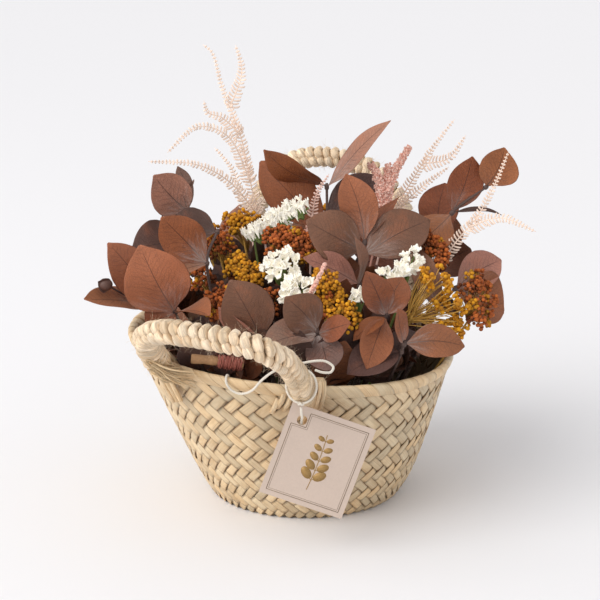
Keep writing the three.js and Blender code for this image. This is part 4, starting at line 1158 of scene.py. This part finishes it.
def addLeaf(pile, foot, tip, width, facing, tone, wax, chance, shade=1.0):
    along = tip - foot
    length = np.linalg.norm(along)
    along = along / length
    normal = np.asarray(facing, float)
    normal = unit(normal - along * normal.dot(along))
    side = np.cross(along, normal)
    rows, columns = blade["rows"], blade["columns"]
    t = np.linspace(0, 1, rows + 1)
    v = np.sin(np.linspace(-math.pi / 2, math.pi / 2, columns + 1))  # closer together at the edges
    half = width / 2 * np.interp(t, bladeShares, bladeHalves)
    half = np.convolve(np.pad(half, 1, mode="edge"), [0.2, 0.6, 0.2], "valid")
    arch = blade["arch"] * length * np.sin(math.pi * t ** 1.2) * chance.uniform(-0.5, 2.2)
    sway = width * 0.08 * chance.uniform(-1, 1) * np.sin(math.pi * t)
    twist = chance.uniform(-0.45, 0.45) * (t - 0.4)
    lift = blade["cup"] * chance.uniform(-0.4, 2.6) * half[:, None] * np.abs(v)[None] ** 1.5
    phase, waves = chance.uniform(0, 6.3, 2), chance.uniform(5, 9)
    for k, sign in enumerate((-1, 1)):
        ripple = 0.05 * width * np.sin(waves * t + phase[k])[:, None] * np.clip(sign * v, 0, 1)[None] ** 2
        lift = lift + ripple * np.sin(math.pi * t)[:, None]
    crease = -0.22 * np.exp(-(half[:, None] * v[None] / 0.9) ** 2) * np.clip(half / 2, 0, 1)[:, None]
    across = half[:, None] * v[None]
    tilt = twist[:, None] * across
    rib = foot + along * (t * length)[:, None] + normal * arch[:, None] + side * sway[:, None]
    middle = rib[:, None] + side * across[..., None] + normal * (lift + crease + tilt)[..., None]
    skin = blade["thick"] / 2 * np.sqrt(np.clip(1 - np.abs(v) ** 6, 0, 1))[None, :, None] * normal
    front, back = middle + skin, (middle - skin)[:, 1:-1]
    wide, narrow = columns + 1, columns - 1
    total = (rows + 1) * wide

    def frontCorner(r, c):
        return r * wide + c

    def backCorner(r, c):  # the two skins share their edges
        return np.where((c == 0) | (c == columns), r * wide + c, total + r * narrow + c - 1)

    r, c = np.meshgrid(np.arange(rows), np.arange(columns), indexing="ij")
    r, c = r.ravel(), c.ravel()
    corners = ((0, 0), (0, 1), (1, 1), (1, 0))
    faces = [np.stack([frontCorner(r + i, c + j) for i, j in corners], 1),
             np.stack([backCorner(r + j, c + i) for i, j in corners], 1)]
    edge = np.arange(columns + 1)
    for row, flip in ((0, 1), (rows, -1)):
        loop = np.concatenate([frontCorner(row, edge), backCorner(row, edge[1:-1])[::-1]])
        faces.append([loop[::-flip]])
    number = chance.uniform(0, 50)
    shares = np.stack(np.broadcast_arrays(t[:, None], v[None], 0.0), axis=-1)
    places = np.stack(np.broadcast_arrays((t * length)[:, None], across, number), axis=-1)
    light = chance.uniform(0.78, 1.1) * shade
    colour = np.array(tones[tone]) * light * (1, chance.uniform(0.93, 1.05), chance.uniform(0.9, 1.05), 1)
    colour[3] = wax
    pile.add(np.concatenate([front.reshape(-1, 3), back.reshape(-1, 3)]), faces,
             place=np.concatenate([places.reshape(-1, 3), places[:, 1:-1].reshape(-1, 3)]),
             share=np.concatenate([shares.reshape(-1, 3), shares[:, 1:-1].reshape(-1, 3)]), tone=colour)


# The two scales of a bud: how far they reach, how wide they are, the way they face and their bloom.
budLeaves = [(1.3, 2.1, (0.3, -1, 0.1), 0.3), (1.2, 1.9, (-0.5, -0.7, 0.5), 0.1)]


def makeEucalyptus():
    sprays = eucalyptus + [backSpray(*spray, k) for k, spray in enumerate(backSprays)]
    for k, spray in enumerate(sprays):
        chance = np.random.default_rng(100 + k)
        path = [np.array(p, float) for p in spray["stem"]]
        end = unit(path[-1] - (path[-2] if len(path) > 1 else rootUnder(path[0])))
        wood = Pile()
        addStem(wood, [*path[:-1], path[-1] + end * stems["tip"]])
        leaves = Pile()
        for foot, tip, width, facing, tone, wax in spray["leaves"]:
            joint = nearestOn(path, np.array(foot, float))
            addLeaf(leaves, joint, np.array(tip, float), width, facing, tone, wax, chance)
            start = joint - end * 1.2
            sweep(wood, np.linspace(start, joint + end * 1.6, 4), stems["knot"], 8, tone=tones["stalk"])
        if "bud" in spray:
            place, size = np.array(spray["bud"][0], float), spray["bud"][1]
            way = unit(place - path[0])
            stalk = curve([path[0], (path[0] + place) / 2 - up * 1.5, place - way * size * 0.7], 2)
            sweep(wood, stalk, 0.6, 6, tone=tones["twig"])
            for long, wide, facing, wax in budLeaves:
                tip = place + way * size * long
                addLeaf(leaves, place - way * size, tip, size * wide, facing, "dark", wax, chance)
            addCopies(leaves, ball, [place], np.array([[size, size, size * 0.9]]), place=[(0, 3, 9)],
                      share=[(0.8, 0.2, 0)], tone=[tones["dark"]])
        name = f"eucalyptus_{k + 1:02d}"
        leaves.piece(f"{name}_leaves", eucalyptusFinish, "leaf", [name], fromFlowers=True)
        wood.piece(f"{name}_stem", barkFinish, "bark", fromFlowers=True)


# How many leaves, how far out from and to, their height and length, and how much more they grow inwards.
innerRings = [
    (74, 14, 84, 96, 22, 0.42), (38, 18, 58, 122, 22, 0), (34, 82, 90, 94, 24, 0), (44, 40, 80, 88, 0, 0)]


def makeInnerLeaves():
    # Dark leaves low between the stems, set by rule over the foam: they close the view in.
    chance = np.random.default_rng(150)
    pile = Pile()
    for k, (near, far, height, length, slope) in enumerate(
            ring for count, *ring in innerRings for _ in range(count)):
        share = chance.uniform(0, 1)
        bearing = k * goldenAngle
        reach = near + (far - near) * math.sqrt(share)
        out = outward(np.array(bearing))
        across = outward(np.array(bearing + math.pi / 2))
        foot = out * (reach - 6) + up * (height + chance.uniform(0, 10)) - np.array([5, 0, 0])
        tall = length + chance.uniform(0, 12) + (84 - reach) * slope
        tip = foot + out * chance.uniform(2, 9) + across * chance.uniform(-14, 14) + up * tall
        facing = out + up * 0.3 + chance.normal(0, 0.3, 3)
        if not length:  # lying flat
            tip = foot + out * 18 + across * chance.uniform(-18, 18) + up * chance.uniform(2, 9)
            facing = up + chance.normal(0, 0.25, 3)
        tone = ["dark", "umber", "brown", "dark", "copper"][k % 5]
        # Their tone is dimmed to three quarters: painted shade deep in the bunch.
        addLeaf(pile, foot, tip, chance.uniform(22, 32), facing, tone, 0.1, chance, 0.75)
        if k % 2:
            sweep(pile, np.linspace(rootUnder(foot), foot + up * 3, 6), 0.9, 6, tone=tones["twig"])
    pile.piece("inner_leaves", eucalyptusFinish, "leaf", fromFlowers=True)


makeEucalyptus()
makeInnerLeaves()
print("eucalyptus")

# Button flowers.
buttons = dict(radius=1.28, clump=2.8, perClump=8, spacing=4.7, stalk=0.28,
               looseSpray="rust_cluster_05", looseSpacing=6.2)
# A drift is its middle, its half width and half height, its tilt and the share of its second
# colour. Flowers' frame, in millimetres.
rustSprays = [
    [((-56, -15, 173), (10, 9), 0, 0.15), ((-67, -38, 160), (6, 14), 8, 0.35)],
    [((-52, -63, 145), (11, 13), 10, 0.1), ((-26, -61, 145), (11, 9), 0, 0.0)],
    [((-9, -29, 175), (21, 11), -18, 0.12)],
    [((86, -8, 165), (8, 14), 0, 0.05)],
    [((112, -32, 140), (13, 19), -20, 0.15)],
    [((-10, 62, 158), (12, 10), 0, 0.1)]]
yellowSprays = [
    [((-41, 7, 180), (11, 10), 10, 0.15), ((-38, -43, 160), (17, 9), -38, 0.12)],
    [((22, -73, 139), (12, 13), 0, 0.05), ((13, -61, 154), (11, 12), -10, 0.1)],
    [((18, 64, 172), (12, 9), 0, 0.05)],
    [((-66, 32, 166), (11, 9), 0, 0.15)]]
openSpray = dict(fork=(66, -40, 128), reach=39, stalks=19, lowest=-14, fan=92)


def awayFromMiddle(place):
    return unit(np.asarray(place, float) - np.array([0, 0, 95]))


def toneRange(chance, count, first, second):
    share = chance.uniform(0, 1, (count, 1))
    made = np.array(tones[first]) * (1 - share) + np.array(tones[second]) * share
    made[:, :3] *= chance.uniform(0.82, 1.15, (count, 1))
    return made


def patchAxes(at, tilt):
    # Right, up and out of a drift that looks outward and a little toward the basket's front.
    face = unit(np.array([0, -0.6, 0.35]) + 0.6 * awayFromMiddle(at))
    right = unit(np.cross(up, face))
    rise = np.cross(face, right)
    turn = math.radians(tilt)
    return np.stack([right * math.cos(turn) + rise * math.sin(turn),
                     rise * math.cos(turn) - right * math.sin(turn), face])


def driftPlaces(half, spacing, chance, depth=0.45):
    # Uneven places over a low dome: along, up and out, in millimetres.
    places = []
    for row in np.arange(-half[1] - spacing, half[1] + spacing, spacing * 0.86):
        for column in np.arange(-half[0] - spacing, half[0] + spacing, spacing):
            x, y = np.array([column, row]) + chance.normal(0, spacing * 0.28, 2)
            share = (x / half[0]) ** 2 + (y / half[1]) ** 2
            if share < chance.uniform(0.75, 1.25):
                places.append((x, y, min(half) * depth * (1 - share) + chance.normal(0, 1.2)))
    return np.array(places)


def addClump(pile, centre, way, size, pair, layerShade, chance):
    count = round(buttons["perClump"] * chance.uniform(0.6, 1.2))
    frames = frameTo(way[None], chance.uniform(0, 6.3, 1))[0]
    local = spread(count, -0.2) * size
    places = centre + local @ frames.T + chance.normal(0, 0.35, local.shape)
    radii = buttons["radius"] * chance.uniform(0.7, 1.15, count)
    tone = toneRange(chance, count, *pair)
    # Painted shade: each button darker towards the clump's underside and lighter on its top, times its
    # layer's painted shade.
    tone[:, :3] *= layerShade * (0.72 + 0.4 * local[:, 2:] / size)
    addCopies(pile, ball, places, radii, tone=tone)


def addDrift(pile, at, half, tilt, mixed, pair, other, spacing, chance):
    # Clumps on stalks over a low dome, and a second layer between and below them whose tone is halved:
    # painted shade.
    at = np.array(at, float)
    axes = patchAxes(at, tilt)
    foot = at - axes[2] * 13 - up * 9
    for layer, layerShade in ((0, 1.0), (3.6, 0.5)):
        for local in driftPlaces(half, spacing * (1 + 0.1 * layer), chance):
            centre = at + local @ axes - axes[2] * layer
            way = unit(centre - foot + axes[2] * 6)
            stalk = curve([foot, (foot + centre) / 2 + axes[2], centre], steps=4)
            sweep(pile, stalk, buttons["stalk"], 5, tone=np.array(tones["straw"]) * (0.7, 0.7, 0.7, 1))
            rim = abs(local[0]) / half[0]
            chosen = other if chance.uniform() < mixed * (0.5 + rim) else pair
            addClump(pile, centre, way, buttons["clump"] * chance.uniform(0.75, 1.15), chosen, layerShade, chance)


def makeButtons(family, node, sprays, pair, other):
    for k, drifts in enumerate(sprays):
        chance = np.random.default_rng(len(family) * 100 + k)
        pile = Pile()
        place = np.array(drifts[0][0], float)
        addStem(pile, [place - up * 6], "straw", 1.0)
        replaced = f"{node}_{k + 1:02d}"
        spacing = buttons["looseSpacing" if replaced == buttons["looseSpray"] else "spacing"]
        for j, (at, half, tilt, mixed) in enumerate(drifts):
            addDrift(pile, at, half, tilt, mixed, pair, other, spacing, chance)
            if j:
                fork = rootUnder(place) * 0.7 + place * 0.3
                sweep(pile, np.linspace(fork, np.array(at) - up * 6, 8), 0.9, 6, tone=tones["straw"])
        pile.piece(f"{family}_flowers_{k + 1:02d}", buttonFinish, family, [replaced], fromFlowers=True)


rustPair, goldPair = ("rust", "deepRust"), ("gold", "deepGold")
makeButtons("rust", "rust_cluster", rustSprays, rustPair, goldPair)
makeButtons("gold", "yellow_cluster", yellowSprays, goldPair, rustPair)


def makeOpenSpray():
    chance = np.random.default_rng(77)
    pile = Pile()
    fork = np.array(openSpray["fork"], float)
    addStem(pile, [fork], "straw", 1.0)
    for k in range(openSpray["stalks"]):
        angle = math.radians(openSpray["lowest"] + openSpray["fan"] * (k * 0.618 % 1))
        reach = openSpray["reach"] * math.sqrt(chance.uniform(0.2, 1))
        end = fork + reach * np.array([math.cos(angle), chance.uniform(-0.3, 0.15), math.sin(angle)])
        way = unit(end - fork)
        for j in range(3):
            tip = end + (chance.normal(0, 2.6, 3) if j else 0)
            bow = (fork + tip) / 2 + chance.normal(0, 1.5, 3)
            sweep(pile, curve([fork + chance.normal(0, 1.5, 3), bow, tip], 2.5), 0.3, 5, tone=tones["straw"])
            count = 3 if j else 6
            places = tip + spread(count, -0.4) @ frameTo(way[None], chance.uniform(0, 6, 1))[0].T * 2.0
            addCopies(pile, ball, places, 1.45 * chance.uniform(0.75, 1.1, count),
                      tone=toneRange(chance, count, "gold", "deepGold"))
    pile.piece("gold_open_flowers", buttonFinish, "gold", ["yellow_open_spray"], fromFlowers=True)


makeOpenSpray()
print("button flowers")

# Statice.
statice = dict(sides=28, rings=6, spacing=5.0, brushSpacing=3.1)
# A brush is narrow florets set side by side along a line; a tuft is a heap of ruffled cups.
# Both are a middle, a half width and half height, and a tilt.
staticeSprays = [
    [("brush", (-33, -10, 179), (9, 6), 42), ("brush", (-18, -6, 188), (10, 6), 40),
     ("brush", (-5, -2, 194), (9, 6), 30)],
    [("tuft", (-15, -53, 167), (12, 11), 20), ("tuft", (-5, -64, 155), (11, 10), -30)],
    [("tuft", (69, -36, 167), (7, 8), 0), ("tuft", (57, -45, 160), (8, 7), 0)],
    [("tuft", (36, -58, 148), (6, 7), 0)],
    [("tuft", (72, 48, 164), (9, 9), 0)],
    [("tuft", (-20, 42, 172), (10, 9), 0)]]


def cupShape(chance):
    # A papery trumpet closed round its throat, its rim crumpled by chance in lobes and small pleats.
    sides, rings = statice["sides"], statice["rings"]
    angles = np.linspace(0, 2 * math.pi, sides, endpoint=False)
    t = np.linspace(0, 1, rings)
    late = t[:, None] ** 2
    phases = chance.uniform(0, 6.3, 5)
    frill = 1 + late * (0.16 * np.cos(3 * angles + phases[0]) + 0.07 * np.cos(8 * angles + phases[1]))[None]
    radius = (0.14 + 0.86 * t ** 1.4)[:, None] * frill
    ruffle = 0.12 * np.cos(4 * angles + phases[2]) + 0.10 * np.cos(9 * angles + phases[3])
    rise = t[:, None] + late * ruffle[None] - 0.12 * t[:, None] ** 6
    oval = chance.uniform(0.6, 1)
    outer = np.stack([radius * np.cos(angles), radius * np.sin(angles) * oval, rise], axis=-1)
    inner = outer[::-1] * [0.88, 0.88, 1] + [0, 0, 0.05]
    points = np.concatenate([outer, inner]).reshape(-1, 3)
    return points, tubeFaces(2 * rings, sides)[0]


def addFlorets(pile, kind, at, half, tilt, shapes, chance):
    at = np.array(at, float)
    axes = patchAxes(at, tilt)
    brush = kind == "brush"
    spacing = statice["brushSpacing" if brush else "spacing"]
    foot = at - axes[2] * (4 if brush else 11) - (axes[1] if brush else up) * 9
    for local in driftPlaces(half, spacing, chance, 0.3 if brush else 0.6):
        place = at + local @ axes
        lean = axes[1] * 1.3 + axes[2] * 0.75 if brush else axes[2] + (place - at) * 0.09
        way = unit(lean + chance.normal(0, 0.16 if brush else 0.36, 3))
        wide = chance.uniform(2, 2.8) if brush else chance.uniform(3.2, 4.8)
        deep = 6.5 if brush else chance.uniform(5.5, 7.5)
        light = chance.uniform(0.92, 1.04)
        shape = shapes[chance.integers(len(shapes))]
        frames = frameTo(way[None], chance.uniform(0, 6.3, 1))
        tone = np.array(tones["cream"]) * (light, light, light, 1)
        size = np.array([[wide, wide, deep]])
        addCopies(pile, shape, [place - way * deep * 0.7], size, frames, tone=[tone])
        stalk = curve([foot, (foot + place) / 2, place - way * deep * 0.6], steps=3)
        sweep(pile, stalk, 0.6, 5, tone=tones["green"])


def makeStatice():
    shapes = [cupShape(np.random.default_rng(310 + k)) for k in range(5)]
    for k, clumps in enumerate(staticeSprays):
        chance = np.random.default_rng(300 + k)
        pile = Pile()
        ends = [np.array(clump[1], float) for clump in clumps]
        addStem(pile, [ends[0] - up * 5], "green", 1.0)
        for j, clump in enumerate(clumps):
            if j:
                joining = np.linspace(ends[j - 1] - up * 6, ends[j] - up * 6, 6)
                sweep(pile, joining, 1.1, 6, tone=tones["green"])
            addFlorets(pile, *clump, shapes, chance)
        number = f"{k + 1:02d}"
        pile.piece(f"statice_flowers_{number}", petalFinish, "cream", [f"statice_{number}"], fromFlowers=True)


makeStatice()
print("statice")

# Pink spikes: how thick each is at its foot, and its stalks.
spikes = [
    dict(thick=6.4, paths=[
        [(49, 26, 168), (58, 30, 205), (69, 32, 226)],
        [(52, 27, 182), (50, 27, 205), (45, 26, 216)],
        [(50, 27, 172), (55, 28, 192), (56, 30, 214)]]),
    dict(thick=2.4, paths=[[(-1, -72, 146), (5, -76, 158), (12, -82, 175)]]),
    dict(thick=4.6, paths=[[(2, 78, 146), (4, 80, 162), (6, 80, 176)]])]


def makeSpikes():
    for k, spike in enumerate(spikes):
        chance = np.random.default_rng(400 + k)
        pile = Pile()
        addStem(pile, [np.array(spike["paths"][0][0], float)], "pink", 1.0)
        for points in spike["paths"]:
            path = curve(points, spacing=1.1)
            forward, side, across = framesAlong(path)
            sweep(pile, path, pointed(len(path), 0.8), 6, tone=tones["pink"])
            for j, place in enumerate(path):
                reach = spike["thick"] * (1 - 0.62 * j / len(path)) * (1.1 if spike["thick"] > 3 else 0.8)
                for angle in chance.uniform(0, 6.3, 7):
                    out = side[j] * math.cos(angle) + across[j] * math.sin(angle)
                    way = unit(out + forward[j] * chance.uniform(0.8, 1.6))
                    count = max(2, round(reach / 0.75))
                    shares = np.linspace(0.35, 1, count)[:, None]
                    places = place + way * reach * shares + chance.normal(0, 0.28, (count, 3))
                    addCopies(pile, grain, places, chance.uniform(0.5, 0.95, count),
                              tone=toneRange(chance, count, "pink", "palePink"))
        number = f"{k + 1:02d}"
        pile.piece(f"pink_plume_{number}", plumeFinish, "rose", [f"pink_spike_{number}"], fromFlowers=True)


makeSpikes()

# Fronds.
frond = dict(pitch=2.4, rib=0.6, thread=0.56)
# A frond is the length of its needles and its branches, the first of which is its rib.
fronds = [
    dict(needle=6, branches=[
        [(-27, 20, 168), (-35, 14, 203), (-42, 10, 239), (-54, 10, 272), (-60, 12, 293), (-66, 14, 298)],
        [(-36, 13, 208), (-50, 2, 240), (-69, -8, 248), (-88, -18, 233)],
        [(-42, 10, 240), (-54, 4, 252), (-63, 0, 256), (-65, -2, 264)],
        [(-48, 10, 258), (-41, 16, 280), (-45, 20, 297)],
        [(-30, 17, 184), (-50, 0, 211), (-70, -12, 224), (-100, -22, 228)]]),
    dict(needle=6, branches=[
        [(58, 44, 176), (71, 42, 199), (86, 42, 224), (101, 44, 244)],
        [(80, 42, 214), (97, 36, 219), (108, 34, 235)],
        [(60, 44, 180), (80, 36, 200), (97, 32, 214)]]),
    dict(needle=6, branches=[
        [(90, 8, 152), (101, 3, 170), (114, -1, 188), (125, -5, 212), (132, -8, 232)],
        [(108, 1, 180), (128, -8, 188), (150, -18, 181)]]),
    dict(needle=4, tone="palePink", branches=[[(5, 12, 184), (8, 9, 200), (16, 2, 215)]]),
    dict(needle=6, branches=[
        [(-36, 50, 160), (-42, 56, 184), (-50, 64, 206), (-62, 70, 220)],
        [(-39, 53, 172), (-28, 64, 184), (-22, 74, 192)]])]


def addBranch(pile, points, needle, tone, chance):
    path = curve(points, spacing=frond["pitch"])
    facing = unit(np.array([0.15, -1, 0.2]))
    forward, _, _ = framesAlong(path)
    sweep(pile, path, frond["rib"] * np.linspace(1, 0.35, len(path)), 6, tone=tone)
    shares = np.linspace(0, 1, len(path))
    for k, place in enumerate(path[:-1]):
        side = unit(np.cross(forward[k], facing))
        lift = np.cross(side, forward[k])
        reach = needle * (1 - 0.88 * shares[k] ** 0.95)
        for sign in (-1, 1):
            length = reach * chance.uniform(0.85, 1.15)
            out = unit(side * sign + lift * chance.normal(0, 0.28))
            t = np.linspace(0, 1, 6)[:, None]
            hook = forward[k] * length
            thread = place + out * length * 0.9 * np.sin(t * 1.4) + hook * (0.35 * t + 0.12 * t ** 3)
            light = np.array(tone) * chance.uniform(0.9, 1.08)
            sweep(pile, thread, frond["thread"] * np.array([0.7, 1.0, 1.15, 1.2, 1.0, 0.5]), 5, tone=light)


def makeFronds():
    for k, one in enumerate(fronds):
        chance = np.random.default_rng(500 + k)
        pile = Pile()
        rib = np.array(one["branches"][0], float)
        addStem(pile, [rib[0], rib[0] * 0.88 + rib[1] * 0.12], "palePink", 0.9)
        tone = tones[one.get("tone", "blush")]
        addBranch(pile, rib, one["needle"], tone, chance)
        fine = curve(rib, steps=40)
        for branch in one["branches"][1:]:
            start = nearestOn(fine, np.array(branch[0], float))
            addBranch(pile, [start, *np.array(branch[1:], float)], one["needle"], tone, chance)
        pile.piece(f"frond_{k + 1:02d}", plumeFinish, "blush", [f"fern_{k + 1:02d}"], fromFlowers=True)


makeFronds()
print("spikes and fronds")

# The tied stem and the foam.
tiedStem = dict(path=[(-70, -92, 118), (-56, -93, 117), (-38, -92, 114)], radius=2.9,
                thread=0.34, first=0.5, strands=5, hairs=90)


def makeTiedStem():
    chance = np.random.default_rng(600)
    path = curve(tiedStem["path"], spacing=0.8)
    wood = Pile()
    knots = 1 + 0.08 * np.sin(np.arange(len(path)) * 0.5) + chance.normal(0, 0.03, len(path))
    sweep(wood, path, tiedStem["radius"] * knots, 12, tone=tones["tan"])
    wood.piece("tied_stem_wood", barkFinish, "bark", ["tied_stem"], fromFlowers=True)
    thread = Pile()
    _, side, across = framesAlong(path)
    tone = np.array(tones["pink"]) * (0.5, 0.3, 0.28, 1)
    for strand in range(tiedStem["strands"]):
        k = np.linspace(tiedStem["first"] * len(path), len(path) - 2, 420)
        angle = k * 2.6 * (1 if strand < 3 else -0.7) + strand * 2.1 + 0.5 * np.sin(k * 0.9 + strand)
        ring = blendRows(side, k) * np.cos(angle)[:, None] + blendRows(across, k) * np.sin(angle)[:, None]
        lift = tiedStem["radius"] + 0.4 + 0.2 * strand + 0.2 * np.sin(k * 3.7 + strand)
        wound = blendRows(path, k) + ring * lift[:, None]
        sweep(thread, wound, tiedStem["thread"], 5, number=strand, tone=tone)
    picks = chance.uniform(tiedStem["first"] * len(path), len(path) - 2, tiedStem["hairs"])
    outs = chance.normal(0, 1, (tiedStem["hairs"], 3))
    starts = blendRows(path, picks) + unitRows(outs) * (tiedStem["radius"] + 0.5)
    addFibres(thread, starts, outs, chance, (1.5, 4.5), 0, radius=0.09, curl=0.9)
    thread.marks["tone"] = [np.broadcast_to(tone, (len(block), 4)) for block in thread.points]
    thread.piece("tied_stem_thread", barkFinish, "rose", fromFlowers=True)


makeTiedStem()
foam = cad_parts["foam"]
foam.data.materials.clear()
foam.data.materials.append(foamFinish())
print("stem and foam")
